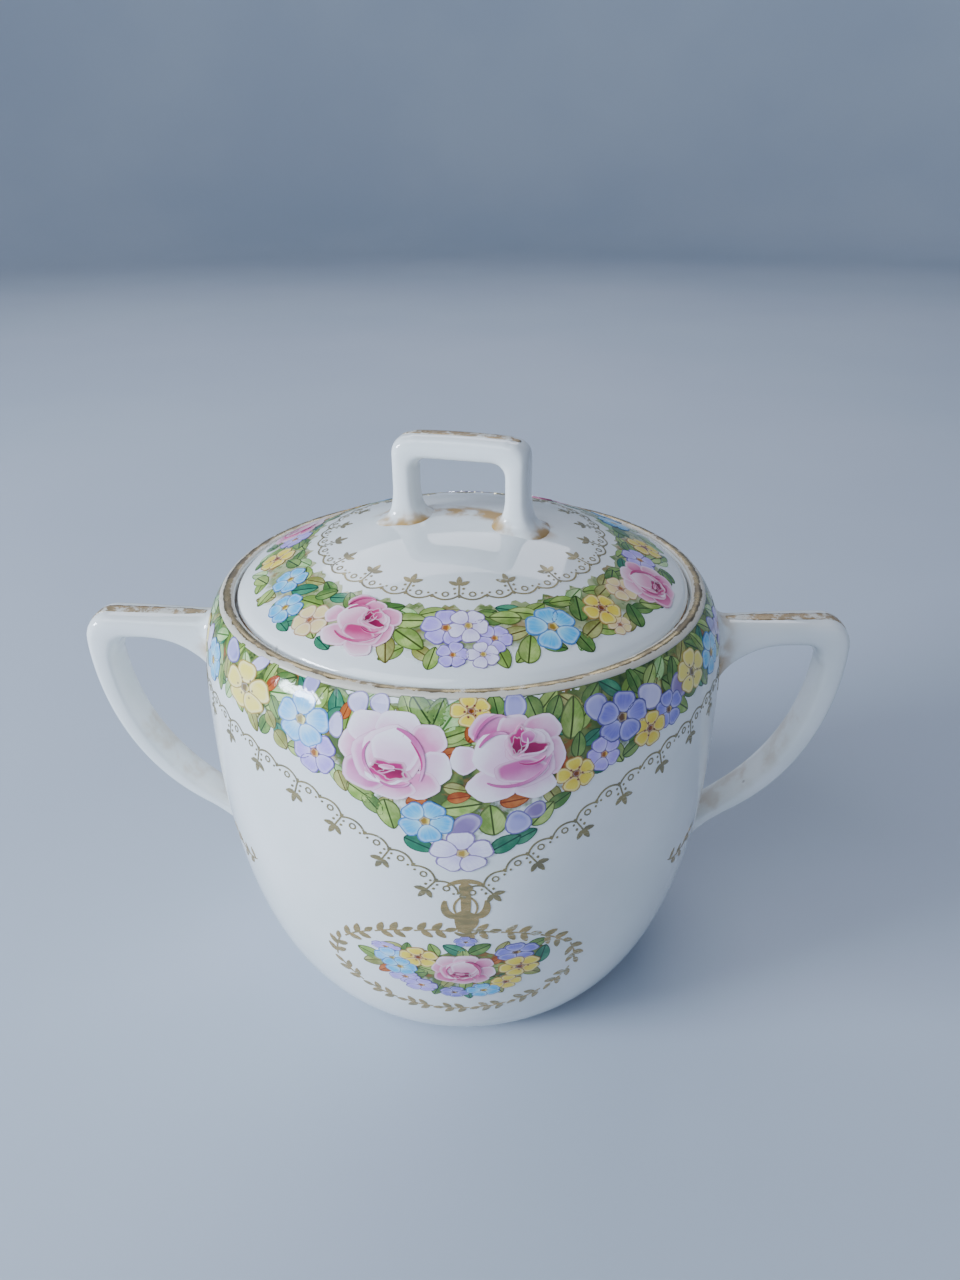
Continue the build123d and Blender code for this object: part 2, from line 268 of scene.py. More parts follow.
lid_outline = [np.array((r, dome_height(r, LID_WALL))) for r in np.linspace(0, COLLAR_INNER - 1, 18)]
lid_outline += eased([tuple(lid_outline[-1]), (COLLAR_INNER, dome_height(COLLAR_INNER, LID_WALL)),
    (COLLAR_INNER, COLLAR_BOTTOM), (COLLAR_OUTER, COLLAR_BOTTOM), (COLLAR_OUTER, SEAT_HEIGHT),
    (LID_RADIUS, SEAT_HEIGHT), (LID_RADIUS, 79.2)], 0.45)[1:-1]
shoulder = (LID_RADIUS - EDGE_ROUND * 1.05, dome_height(LID_RADIUS - EDGE_ROUND * 1.05))
lid_outline += [np.array((LID_RADIUS, 78.6)), np.array((LID_RADIUS, 79.2))]
lid_outline += bend((LID_RADIUS, 79.2), (LID_RADIUS, 79.75), (LID_RADIUS - 0.35, 80.3), shoulder, 8)
lid_outline += [np.array((r, dome_height(r))) for r in np.linspace(shoulder[0] - 0.7, 0, 54)]
print("lid outline has", len(lid_outline), "points")

# %% [markdown]
# ## Turned pieces
# A grid is wrapped round the axis: its rows read their radius and height
# from an outline, and its columns turn. Merging the first and last column,
# and the points on the axis, closes the seam and the poles. The same tree
# makes the bowl, the lid and each gold ring.

# %% Turning tree
SEAM = 0.000002     # metres; joins the seam and the points on the axis


def start_tree(name, *inputs):
    """A new Geometry Nodes tree with named inputs and one output."""
    tree = bpy.data.node_groups.new(name, "GeometryNodeTree")
    tree.interface.new_socket("Geometry", in_out="OUTPUT", socket_type="NodeSocketGeometry")
    for label, kind in inputs:
        tree.interface.new_socket(label, in_out="INPUT", socket_type="NodeSocket" + kind)
    return tree, tree.nodes.new("NodeGroupInput").outputs, tree.nodes.new("NodeGroupOutput")


def finish_tree(tree, shape, material, output):
    real = add_node(tree, "GeometryNodeRealizeInstances", {"Geometry": shape}).outputs[0]
    coated = add_node(tree, "GeometryNodeSetMaterial", {"Geometry": real, "Material": material}).outputs[0]
    tree.links.new(coated, output.inputs[0])


def swing_round(tree, radius, turn, height):
    """A place at a radius, turned from the front (-Y) towards +X."""
    x = times(tree, radius, number(tree, "SINE", turn))
    y = times(tree, radius, times(tree, number(tree, "COSINE", turn), -1.0))
    return add_node(tree, "ShaderNodeCombineXYZ", {0: x, 1: y, 2: height}).outputs[0]


def build_turning_tree():
    tree, given, output = start_tree(
        "turn_outline", ("Outline", "Object"), ("Outline Points", "Int"), ("Steps Around", "Int"),
        ("Material", "Material"))
    columns = plus(tree, given["Steps Around"], 1.0)
    grid = add_node(tree, "GeometryNodeMeshGrid", {"Vertices X": columns,
        "Vertices Y": given["Outline Points"]}).outputs[0]
    index = add_node(tree, "GeometryNodeInputIndex").outputs[0]
    row = number(tree, "FLOORED_MODULO", index, given["Outline Points"])
    column = number(tree, "FLOOR", number(tree, "DIVIDE", plus(tree, index, 0.5),
        given["Outline Points"]))
    outline = add_node(tree, "GeometryNodeObjectInfo", {"Object": given["Outline"]}).outputs["Geometry"]
    place = add_node(tree, "GeometryNodeInputPosition").outputs[0]
    point = add_node(tree, "GeometryNodeSampleIndex", data_type="FLOAT_VECTOR", domain="POINT")
    tree.links.new(outline, point.inputs["Geometry"])
    tree.links.new(place, point.inputs["Value"])
    tree.links.new(row, point.inputs["Index"])
    parts = add_node(tree, "ShaderNodeSeparateXYZ", {0: point.outputs[0]}).outputs
    turn = number(tree, "DIVIDE", times(tree, column, 2 * pi), given["Steps Around"])
    turned = add_node(tree, "GeometryNodeSetPosition", {
        "Geometry": grid, "Position": swing_round(tree, parts[0], turn, parts[2])}).outputs[0]
    closed = add_node(tree, "GeometryNodeMergeByDistance",
        {"Geometry": turned, "Distance": SEAM}).outputs[0]
    smooth = add_node(tree, "GeometryNodeSetShadeSmooth", {"Geometry": closed}).outputs[0]
    finish_tree(tree, smooth, given["Material"], output)
    return tree


turning = build_turning_tree()


def add_object(name, data):
    thing = bpy.data.objects.new(name, data)
    scene.collection.objects.link(thing)
    return thing


def draw_line(name, points, closed=False):
    """A helper curve through points; 2-D points are radius and height."""
    curve = bpy.data.curves.new(name, "CURVE")
    curve.dimensions = "3D"
    spline = curve.splines.new("POLY")
    spline.points.add(len(points) - 1)
    for knot, p in zip(spline.points, points):
        p = (p[0], 0.0, p[1]) if len(p) == 2 else p
        knot.co = (p[0] * MM, p[1] * MM, p[2] * MM, 1.0)
    spline.use_cyclic_u = closed
    return add_object(name, curve)


def grow(name, steps, start=None):
    """Runs Geometry Nodes steps and keeps the result as a plain mesh."""
    host = add_object(name + "_host", start or bpy.data.meshes.new(name + "_start"))
    for tree, inputs in steps:
        modifier = host.modifiers.new(tree.name, "NODES")
        modifier.node_group = tree
        for item in tree.interface.items_tree:
            if item.in_out == "INPUT" and item.name in inputs:
                modifier[item.identifier] = inputs[item.name]
    graph = bpy.context.evaluated_depsgraph_get()
    mesh = bpy.data.meshes.new_from_object(host.evaluated_get(graph), preserve_all_data_layers=True,
        depsgraph=graph)
    bpy.data.objects.remove(host)
    mesh.name = name
    return add_object(name, mesh)


def turn_piece(name, outline, material, around=240):
    line = draw_line(name + "_line", outline)
    piece = grow(name, [(turning, {
        "Outline": line, "Outline Points": len(outline), "Steps Around": around, "Material": material})])
    bpy.data.objects.remove(line)
    print(name, "has", len(piece.data.polygons), "faces")
    return piece


bowl = turn_piece("bowl_porcelain", bowl_outline, glaze)
lid = turn_piece("lid_porcelain", lid_outline, glaze)

# %% [markdown]
# ## The gold rings
# The lip's gold is a skin over the crown of the lip. The lid's gold is a
# hair-thin worn line on its upright edge.

# %% Gold rings
GOLD = 0.06     # thickness of the gold


def skin(line, thickness, sink=0.05):
    """A closed band: the line lifted off its surface, and back just under it."""
    line = np.array(line, float)
    way = np.gradient(line, axis=0)
    out = np.c_[-way[:, 1], way[:, 0]] / np.linalg.norm(way, axis=1)[:, None]
    band = np.vstack([line + out * thickness, (line - out * sink)[::-1]])
    return list(np.vstack([band, band[:1]]))[::-1]


lip_line = [outer_wall[-2] * 0.55 + outer_wall[-1] * 0.45, outer_wall[-1]] + lip[:-1]
rim_ring = turn_piece("bowl_rim_gold", skin(lip_line, GOLD), rim_gold)
lid_line = [(LID_RADIUS, z) for z in np.linspace(79.2, 78.4, 5)][::-1]
lid_ring = turn_piece("lid_edge_gold", skin(lid_line, GOLD), edge_gold)

# %% [markdown]
# ## Handles
# Each handle was cast in a mould and stuck to the leather-hard bowl with
# slip. Its side view is ruled by two lines, an outer and an inner one, and
# its section is a soft rectangle. Pairs of points on the two lines give the
# sections, so one strap function makes the ears and the lid's handle.
# Near the bowl the strap swells a little, as the wiped slip does.

# %% Strap helpers
def even(points, count):
    """The same line with evenly spaced points."""
    points = np.array(points, float)
    along = length_along(points)
    at = np.linspace(0, along[-1], count)
    return np.c_[np.interp(at, along, points[:, 0]), np.interp(at, along, points[:, 1])]


def soft_corner(a, corner, b, radius):
    a, corner, b = map(np.array, (a, corner, b))
    p = corner + (a - corner) / np.linalg.norm(a - corner) * radius
    q = corner + (b - corner) / np.linalg.norm(b - corner) * radius
    return [p] + bend(p, p + (corner - p) * 0.56, q + (corner - q) * 0.56, q, ELBOW_STEPS)


wall_radius = np.array([p[0] for p in outer_wall])
wall_height = np.array([p[1] for p in outer_wall])


def above_bowl(x, y, z):
    """How far a point stands out of the bowl's outside, about."""
    return hypot(x, y) - np.interp(z, wall_height, wall_radius)


def above_dome(x, y, z):
    return hypot(hypot(x, y), z - DOME_TOP + dome_radius) - dome_radius


def make_mesh(name, points, faces, material):
    mesh = bpy.data.meshes.new(name)
    mesh.from_pydata([tuple(float(c) * MM for c in p) for p in points], [], faces)
    mesh.update()
    mesh.polygons.foreach_set("use_smooth", [True] * len(mesh.polygons))
    mesh.materials.append(material)
    return add_object(name, mesh)


SLIP_FILLET, SINK = 2.4, 1.1    # radius of the wiped slip; how far a root sinks in
RING = 32                       # points round one section of a strap


def strap(outer, inner, depth, height_above, squareness):
    """Sections between two lines, as points and faces, with slip fillets."""
    points, faces = [], []
    for o, i in zip(outer, inner):
        centre, half = (o + i) / 2, (o - i) / 2
        for k in range(RING):
            a = 2 * pi * k / RING
            across = np.sign(cos(a)) * abs(cos(a)) ** (2 / squareness)
            side = np.sign(sin(a)) * abs(sin(a)) ** (2 / squareness)
            p = np.array((centre[0] + half[0] * across, side * depth / 2, centre[1] + half[1] * across))
            h = height_above(*p)
            if h < SLIP_FILLET:
                room = SLIP_FILLET - max(h, 0.0)
                push = SLIP_FILLET - sqrt(max(SLIP_FILLET ** 2 - room ** 2, 0.0))
                away = p - np.array((centre[0], 0.0, centre[1]))
                p = p + away / np.linalg.norm(away) * push * 0.8
            points.append(p)
    for s in range(len(outer) - 1):
        for k in range(RING):
            a, b = s * RING + k, s * RING + (k + 1) % RING
            faces.append((a, b, b + RING, a + RING))
    faces.append(tuple(range(RING))[::-1])
    faces.append(tuple(range((len(outer) - 1) * RING, len(outer) * RING)))
    return np.array(points), faces


def point_out(piece):
    """Turns a closed shell's faces outwards."""
    shell = bmesh.new()
    shell.from_mesh(piece.data)
    bmesh.ops.recalc_face_normals(shell, faces=shell.faces)
    shell.to_mesh(piece.data)
    shell.free()


# %% Ear handles
ARM_TOP, ELBOW = (38.0, 71.7), (69.6, 72.6)
EAR_DEPTH, EAR_SQUARENESS = 8.0, 3.6
outer_arm = even([(44.3, 71.88), (64.6, 72.46)], 34)
outer_elbow = even(soft_corner(ARM_TOP, ELBOW, (69.6, 60.0), 4.9), 16)[1:]
outer_leg = even(bend((69.6, 67.7), (69.6, 53.0), (64.0, 39.0), (52.0, 31.5), 60), 52)[1:]
outer_root = even(bend((52.0, 31.5), (48.16, 29.1), (45.6, 26.4), (43.4, 22.6), 20), 14)[1:]
inner_arm = even(bend((43.9, 56.2), (48.6, 66.8), (54.0, 67.8), (59.4, 67.8), 40), 34)
inner_elbow = even(soft_corner((55.0, 67.8), (64.0, 67.8), (64.8, 60.0), 2.6), 16)[1:]
inner_leg_line = even(bend((64.8, 65.2), (64.8, 46.5), (54.0, 35.0), (42.7, 27.9), 80), 66)[1:]
ear_outer = np.vstack([outer_arm, outer_elbow, outer_leg, outer_root])
ear_inner = np.vstack([inner_arm, inner_elbow, inner_leg_line])[:len(ear_outer)]
count = min(len(ear_outer), len(ear_inner))
ear_outer, ear_inner = ear_outer[:count], ear_inner[:count]


def ear(name, side):
    points, faces = strap(ear_outer, ear_inner, EAR_DEPTH, above_bowl, EAR_SQUARENESS)
    for first in (0, len(points) - RING):
        for p in points[first:first + RING]:
            mid_wall = np.interp(p[2], wall_height, wall_radius) - SINK
            p[0] = sqrt(max(mid_wall ** 2 - p[1] ** 2, 1.0))
    piece = make_mesh(name, points * np.array((side, 1, 1)), faces, glaze)
    point_out(piece)
    return piece


left_ear = ear("left_ear", -1)
right_ear = ear("right_ear", 1)
print("ear handle sections:", count)

# %% Lid handle
LID_TURN, HALF_WIDTH, HALF_GAP, BAR_TOP, BAR_UNDER = -13.0, 11.9, 7.9, 105.4, 101.2
CROWN_RADIUS, LID_HANDLE_DEPTH, SPREAD, SPREAD_TOP = 170.0, 6.4, 2.0, 95.0
OUTER_CORNER, INNER_CORNER, ARCH_SQUARENESS = 3.0, 2.4, 3.2
post_foot = dome_height(HALF_WIDTH) - SINK


def crown(x):
    return BAR_TOP - CROWN_RADIUS + sqrt(CROWN_RADIUS ** 2 - x ** 2)


def half_arch(width, top, spread, corner, crowned, counts):
    """One side of the arch, from its spread foot up to the middle of the bar."""
    foot = bend((width + spread, post_foot - 0.4), (width + spread * 0.45, post_foot + 1.8),
        (width, SPREAD_TOP - 1.6), (width, SPREAD_TOP + 0.6), 24)
    high = crown(width) if crowned else top
    bar = [(x, crown(x) if crowned else top) for x in np.linspace(width - corner, 0, 20)]
    turn_ = soft_corner((width, SPREAD_TOP), (width, high), (0, high), corner)
    post = [foot[-1], turn_[0]]
    return np.vstack([even(foot, counts[0]), even(post, counts[1])[1:], even(turn_, counts[2])[1:],
        even(bar, counts[3])[1:]])


steps = (14, 8, 12, 16)
half_outer = half_arch(HALF_WIDTH, BAR_TOP, SPREAD, OUTER_CORNER, True, steps)
half_inner = half_arch(HALF_GAP, BAR_UNDER, -SPREAD, INNER_CORNER, False, steps)
mirror = np.array((-1, 1))
arch_outer = np.vstack([half_outer, half_outer[-2::-1] * mirror])
arch_inner = np.vstack([half_inner, half_inner[-2::-1] * mirror])
points, faces = strap(arch_outer, arch_inner, LID_HANDLE_DEPTH, above_dome, ARCH_SQUARENESS)
for first in (0, len(points) - RING):
    for p in points[first:first + RING]:
        p[2] = dome_height(hypot(p[0], p[1])) - SINK
turned = np.array(Matrix.Rotation(radians(LID_TURN), 3, "Z"))
lid_arch = make_mesh("lid_arch", points @ turned.T, faces, glaze)
point_out(lid_arch)
print("lid handle sections:", len(arch_outer))

# %% [markdown]
# ## Gold, stain, painted warm reflection and wear
# The tops of the three handles carry a worn gold line, laid over the same
# sections as the strap. Brown stain has gathered where the handles meet
# the pot; along the ears' undersides a fainter warm brown is part stain and
# part painted warm reflection. The lip's gold has worn off at its edges.
# Each is worked out from where a point lies, and the finish reads it.

# %% Gold lines on the handles
def gild_strap(name, outer, inner, depth, squareness, width, side, turn=None):
    """A thin closed band over the outer face of a run of sections."""
    across = np.linspace(-1, 1, 7)
    points, faces, rows = [], [], len(outer)
    for s, (o, i) in enumerate(zip(outer, inner)):
        centre, half = (o + i) / 2, (o - i) / 2
        way = half / np.linalg.norm(half)
        taper = 0.45 + 0.55 * min(1.0, 5.0 * s / rows, 5.0 * (rows - 1 - s) / rows)
        for lift, order in ((GOLD, across), (-GOLD, across[::-1])):
            for c in order:
                y = c * width / 2 * taper * (1 + 0.06 * sin(1.7 * s))
                rise = (1 - abs(2 * y / depth) ** squareness) ** (1 / squareness)
                p = centre + half * rise + way * lift
                points.append((p[0] * side, y, p[1]))
    ring = 2 * len(across)
    for s in range(rows - 1):
        faces += [(s * ring + k, s * ring + (k + 1) % ring, (s + 1) * ring + (k + 1) % ring,
            (s + 1) * ring + k) for k in range(ring)]
    faces += [tuple(range(ring))[::-1], tuple(range((rows - 1) * ring, rows * ring))]
    points = np.array(points) if turn is None else np.array(points) @ turn.T
    piece = make_mesh(name, points, faces, strap_gold)
    point_out(piece)
    return piece


EAR_GOLD_WIDTH, ARCH_GOLD_WIDTH = 2.6, 2.2
GOLD_FROM, GOLD_ROWS = 47.0, 44       # where the ear's line starts, and its last section
on_arm = [k for k in range(GOLD_ROWS) if ear_outer[k][0] > GOLD_FROM]
left_ear_gold = gild_strap("left_ear_gold", ear_outer[on_arm], ear_inner[on_arm], EAR_DEPTH,
    EAR_SQUARENESS, EAR_GOLD_WIDTH, -1)
right_ear_gold = gild_strap("right_ear_gold", ear_outer[on_arm], ear_inner[on_arm], EAR_DEPTH,
    EAR_SQUARENESS, EAR_GOLD_WIDTH, 1)
BAR_GOLD_REACH, BAR_GOLD_LOWEST = HALF_WIDTH - 1.6, 103.0
on_bar = [k for k, (x, z) in enumerate(arch_outer) if abs(x) < BAR_GOLD_REACH and z > BAR_GOLD_LOWEST]
arch_gold = gild_strap("lid_arch_gold", arch_outer[on_bar], arch_inner[on_bar], LID_HANDLE_DEPTH,
    ARCH_SQUARENESS, ARCH_GOLD_WIDTH, 1, turned)


# %% Stain, painted warm reflection and wear
def store(piece, name, rule):
    """Stores a value on each point, worked out from its place in mm."""
    layer = piece.data.attributes.new(name, "FLOAT", "POINT")
    layer.data.foreach_set("value", [rule(*(v.co / MM)) for v in piece.data.vertices])


def fade(distance, reach):
    """1 at no distance, and 0 from the reach on."""
    return max(0.0, 1 - distance / reach)


ROOT_REACH, UNDERSIDE_REACH, LOWER_ARM, LOWER_ROOT = 5.0, 2.2, 52.0, 45.0


def ear_stain_and_reflection(x, y, z):
    """Brown stain round both roots; fainter along the underside, where it is part stain and part painted
    warm reflection.
    """
    root = fade(above_bowl(x, y, z), ROOT_REACH) * (0.62 if z < LOWER_ROOT else 0.5)
    # Along the underside the fainter brown is part stain and part painted warm reflection.
    gaps = np.hypot(ear_inner[:, 0] - abs(x), ear_inner[:, 1] - z)
    return max(root, (0.26 if z < LOWER_ARM else 0.1) * fade(gaps.min(), UNDERSIDE_REACH))


foot_height = dome_height(HALF_WIDTH)
arch_feet = [turned @ np.array((side * (HALF_WIDTH + 0.4), 0.0, foot_height)) for side in (-1, 1)]
DOME_START, FOOT_RING_REACH, BETWEEN_MIDDLE = 80.5, 2.6, 2.6


def lid_stain(x, y, z):
    """A ring round each foot, and more just behind the line between them."""
    if z < DOME_START:
        return 0.0
    near = min(hypot(x - foot[0], y - foot[1]) for foot in arch_feet)
    along, behind, _ = turned.T @ np.array((x, y, z))
    between = 0.95 * fade(abs(behind - BETWEEN_MIDDLE), 4.2) if abs(along) < HALF_WIDTH else 0.0
    return max(0.46 * fade(max(0.0, near - FOOT_RING_REACH), 3.2), between)


def arch_stain(x, y, z):
    return 0.6 * fade(above_dome(x, y, z), 3.0)


INSIDE_RADIUS, LOWEST_STAIN, EAR_SEAT, EAR_STAIN_REACH = 43.6, 15, 46, 8.0


def bowl_stain(x, y, z):
    """Round the places where the ears meet the outside."""
    outside = z > LOWEST_STAIN and hypot(x, y) > INSIDE_RADIUS
    return 0.45 * fade(hypot(abs(x) - EAR_SEAT, y), EAR_STAIN_REACH) if outside else 0.0


def rim_wear(x, y, _):
    """Gold goes first from the two edges of the lip, and unevenly round it."""
    off = abs(hypot(x, y) - lip_middle) / (LIP_WIDTH / 2)
    return 0.8 * max(0.0, off - 0.3) + 0.03 * sin(3 * atan2(x, -y) + 1)


for piece, name, rule in (
    (left_ear, "stain_and_warm_reflection", ear_stain_and_reflection), (right_ear, "stain_and_warm_reflection", ear_stain_and_reflection), (lid, "stain_and_warm_reflection", lid_stain),
    (lid_arch, "stain_and_warm_reflection", arch_stain), (bowl, "stain_and_warm_reflection", bowl_stain), (rim_ring, "wear", rim_wear),
):
    store(piece, name, rule)
print("stain and wear stored")

# %% [markdown]
# ## Enamel flowers, drawn flat
# The flowers came as a printed transfer: a flat sheet of enamel shapes that
# was laid on the curved pot and fired. They are made the same way here.
# Each petal or leaf is a closed wafer drawn flat, in millimetres, and one
# node tree then lays the whole sheet on the bowl or the lid. Every point
# carries its shape's colours, and a "grain" vector: how far along the shape
# it lies, how far across, and how near its edge. The finishes read those.

# %% Enamel sheet
FLAT_RADIUS = 45.5      # radius at which the bowl's sheet is drawn
BEDDING = 0.03          # how far a wafer's back sinks into the glaze
PLAIN = ("8a7a4c",) * 3  # for gold and washes, whose finishes mix their own colours


def turn_by(angle):
    a = radians(angle)
    return np.array(((cos(a), -sin(a)), (sin(a), cos(a))))


def on_bowl(angle, drop):
    """Flat place of an angle from the front and a distance below the lip."""
    return np.array((radians(angle) * FLAT_RADIUS, -drop)), 0.0


def on_lid(angle, reach):
    """Flat place of an angle from the front and a distance from the crown."""
    return np.array((reach * sin(radians(angle)), -reach * cos(radians(angle)))), float(angle)


class EnamelSheet:
    """Closed flat wafers with colours, all to become one mesh."""

    def __init__(self):
        self.points, self.faces, self.grain = [], [], []
        self.colours = {"body": [], "heart": [], "ink": []}

    def add(self, points, faces, grain, colours=PLAIN):
        first = sum(len(p) for p in self.points)
        self.points.append(np.asarray(points, float))
        self.faces += [tuple(first + k for k in face) for face in faces]
        self.grain.append(np.asarray(grain, float))
        for key, code in zip(("body", "heart", "ink"), colours):
            self.colours[key].append(np.tile(pigment(code), (len(points), 1)))

    def wafer(self, outline, middle, spin, spot, lift, colours=PLAIN):
        """A star-shaped outline, drawn round a middle, turned and placed."""
        outline, middle = np.asarray(outline, float), np.asarray(middle, float)
        reach = np.linalg.norm((outline - middle) @ spin.T, axis=1).max()
        rings = np.linspace(0, 1, max(2, int(np.ceil(reach / 1.3))) + 1)[1:]
        n = len(outline)
        local, edge = [middle], [0.0]
        for part in rings:
            local += list(middle + (outline - middle) * part)
            edge += [part] * n
        local += list(outline)
        edge += [1.0] * n
        local = np.array(local)
        flat = local @ spin.T + spot
        height = np.full(len(local), lift)
        height[-n:] = -BEDDING
        faces = [(0, 1 + k, 1 + (k + 1) % n) for k in range(n)]
        for ring in range(len(rings)):
            a = 1 + ring * n
            faces += [(a + k, a + n + k, a + n + (k + 1) % n, a + (k + 1) % n) for k in range(n)]
        faces.append(tuple(range(len(local) - n, len(local)))[::-1])
        self.add(np.c_[flat, height], faces, np.c_[local, edge], colours)

    def stroke(self, line, width, lift, colours=PLAIN, closed=False, taper=True):
        """A brush stroke: a line with a soft-edged, closed section."""
        line = np.asarray(line, float)
        n = len(line)
        way = np.gradient(line, axis=0) if not closed else np.roll(line, -1, 0) - np.roll(line, 1, 0)
        side = np.c_[-way[:, 1], way[:, 0]] / np.linalg.norm(way, axis=1)[:, None]
        along = np.linspace(0, 1, n)
        half = np.full(n, width / 2)
        if taper and not closed:
            half = half * (0.15 + 0.85 * np.sin(np.pi * np.clip(along * 0.94 + 0.03, 0, 1)) ** 0.6)
        left, right = line + side * half[:, None], line - side * half[:, None]
        points = np.concatenate([
            np.c_[left, np.full(n, -BEDDING)], np.c_[left, np.full(n, lift)],
            np.c_[right, np.full(n, lift)],
            np.c_[right, np.full(n, -BEDDING)]])
        faces = []
        for k in range(n if closed else n - 1):
            m = (k + 1) % n
            for r in range(4):
                s = (r + 1) % 4
                faces.append((r * n + k, s * n + k, s * n + m, r * n + m))
        if not closed:
            faces += [(0, n, 2 * n, 3 * n)[::-1], (n - 1, 2 * n - 1, 3 * n - 1, 4 * n - 1)]
        grain = np.c_[np.tile(along, 4), np.repeat((-1.0, -1.0, 1.0, 1.0), n), np.full(4 * n, 0.5)]
        self.add(points, faces, grain, colours)

    def mesh(self, name):
        """All wafers as one mesh in metres, with its attributes."""
        points = np.vstack(self.points) * MM
        mesh = bpy.data.meshes.new(name)
        mesh.from_pydata(points.tolist(), [], self.faces)
        mesh.update()
        grain = mesh.attributes.new("grain", "FLOAT_VECTOR", "POINT")
        grain.data.foreach_set("vector", np.vstack(self.grain).ravel())
        for key, codes in self.colours.items():
            layer = mesh.attributes.new(key, "FLOAT_COLOR", "POINT")
            layer.data.foreach_set("color", np.vstack(codes).ravel())
        return mesh


# %% Petal and leaf outlines
def petal_outline(width=0.5, notch=0.07, count=18):
    """A round petal from its base at 0 to its tip at 1, with a small notch."""
    a = 2 * pi * (np.arange(count) + 0.5) / count
    a = np.where(a > pi, a - 2 * pi, a)
    x = 0.57 + 0.43 * np.cos(a) - notch * np.exp(-(a / 0.36) ** 2)
    y = width * np.sin(a) * (0.86 + 0.2 * np.cos(a))
    order = np.argsort(a)
    return np.c_[x, y][order], (0.55, 0.0)


def leaf_outline(width=0.3, count=20):
    a = 2 * pi * np.arange(count) / count
    x = (1 - np.cos(a)) / 2
    y = -width * np.sin(a) * np.abs(np.sin(a)) ** 0.25 * (1.15 - 0.4 * x)
    return np.c_[x, y], (0.45, 0.0)


def blob_outline(wobble=0.06, lobes=3, phase=0.0, count=22):
    a = 2 * pi * np.arange(count) / count
    r = 1 + wobble * np.sin(lobes * a + phase)
    return np.c_[r * np.cos(a), r * np.sin(a)], (0.0, 0.0)


# %% [markdown]
# ### Enamel finishes
# Petals are deep at the heart and pale at the rim, with faint brush streaks
# and a thin dark outline. Leaves have a midrib and faint side veins. The wash
# between the flowers is a mottled mix of greens and rust, paler on the lid.

# %% Petal and leaf finishes
def grain_parts(tree):
    """How far along a shape, how far across it, and how near its edge."""
    return add_node(tree, "ShaderNodeSeparateXYZ", {0: attribute(tree, "grain", "Vector")}).outputs


def tint(tree, name):
    """One of the shape's own colours: its body, heart or ink."""
    return attribute(tree, name, "Color")


def finish_enamel(tree, shader, place, colour):
    tree.links.new(colour, shader.inputs["Base Color"])
    tree.links.new(ramp(tree, grain(tree, place, 500.0), 0.3, 0.7, 0.05, 0.12), shader.inputs["Roughness"])
    bump = add_node(tree, "ShaderNodeBump", {
        "Height": grain(tree, place, 300.0), "Strength": 0.1, "Distance": 0.00006}).outputs[0]
    tree.links.new(bump, shader.inputs["Normal"])


def make_petal_enamel():
    material, tree, shader, place = new_finish("petal_enamel", 0.16, IOR=1.5)
    along, across, edge = grain_parts(tree)
    cloud = grain(tree, place, 520.0, 4.0)
    depth = plus(tree, along, times(tree, number(tree, "SUBTRACT", cloud, 0.5), 0.5))
    colour = mix_colours(tree, ramp(tree, depth, 0.72, 0.1), tint(tree, "body"),
        tint(tree, "heart"))
    fan = number(tree, "DIVIDE", across, plus(tree, along, 0.35))
    brush = add_node(tree, "ShaderNodeCombineXYZ", {0: times(tree, along, 0.9),
        1: times(tree, fan, 7.0)}).outputs[0]
    brush = add_node(tree, "ShaderNodeVectorMath", {0: brush, 1: place}, operation="ADD").outputs[0]
    streak = ramp(tree, grain(tree, brush, 1.6, 2.0), 0.42, 0.68)
    colour = mix_colours(tree, times(tree, streak, 0.32), colour,
        tint(tree, "heart"))
    pale = times(tree, ramp(tree, edge, 0.55, 0.86), 0.25)
    colour = mix_colours(tree, pale, colour, pigment("fbf8fb"))
    line = plus(tree, edge, times(tree, grain(tree, place, 700.0, 3.0), 0.16))
    colour = mix_colours(tree, times(tree, ramp(tree, line, 0.93, 1.01), 0.85), colour,
        tint(tree, "ink"))
    finish_enamel(tree, shader, place, colour)
    return material


def make_leaf_enamel():
    material, tree, shader, place = new_finish("leaf_enamel", 0.16, IOR=1.5)
    along, across, edge = grain_parts(tree)
    cloud = ramp(tree, grain(tree, place, 330.0, 4.0), 0.36, 0.64)
    colour = mix_colours(tree, cloud, tint(tree, "body"), tint(tree, "heart"))
    shade = times(tree, ramp(tree, across, -0.03, 0.12), 0.34)
    colour = mix_colours(tree, shade, colour, tint(tree, "ink"))
    off = number(tree, "ABSOLUTE", across)
    slant = number(tree, "SUBTRACT", times(tree, along, 34.0),
        times(tree, off, 62.0))
    veins = times(tree, ramp(tree, number(tree, "SINE", slant), 0.82, 1.0), 0.18)
    rib = ramp(tree, off, 0.034, 0.016)
    line = ramp(tree, plus(tree, edge, times(tree, cloud, 0.05)), 0.88, 0.97)
    ink = number(tree, "MAXIMUM", veins, number(tree, "MAXIMUM", rib, times(tree, line, 0.8)))
    colour = mix_colours(tree, ink, colour, tint(tree, "ink"))
    finish_enamel(tree, shader, place, colour)
    return material


def make_wash_enamel(name, shade, light, dark, rust_share):
    material, tree, shader, place = new_finish(name, 0.16, IOR=1.5)
    edge = grain_parts(tree)[2]
    broad, fine = grain(tree, place, 190.0, 4.0), grain(tree, place, 620.0, 5.0, 0.6)
    colour = mix_colours(tree, ramp(tree, broad, 0.4, 0.6), pigment(shade), pigment(light))
    colour = mix_colours(tree, ramp(tree, fine, 0.5, 0.64), colour, pigment(dark))
    rust = times(tree, ramp(tree, grain(tree, place, 260.0, 3.0), 0.54, 0.64), rust_share)
    colour = mix_colours(tree, rust, colour, pigment("8f5a28"))
    bare = ramp(tree, plus(tree, edge, times(tree, fine, 0.7)), 1.05, 1.3)
    colour = mix_colours(tree, bare, colour, pigment("e2e7e2"))
    finish_enamel(tree, shader, place, colour)
    return material


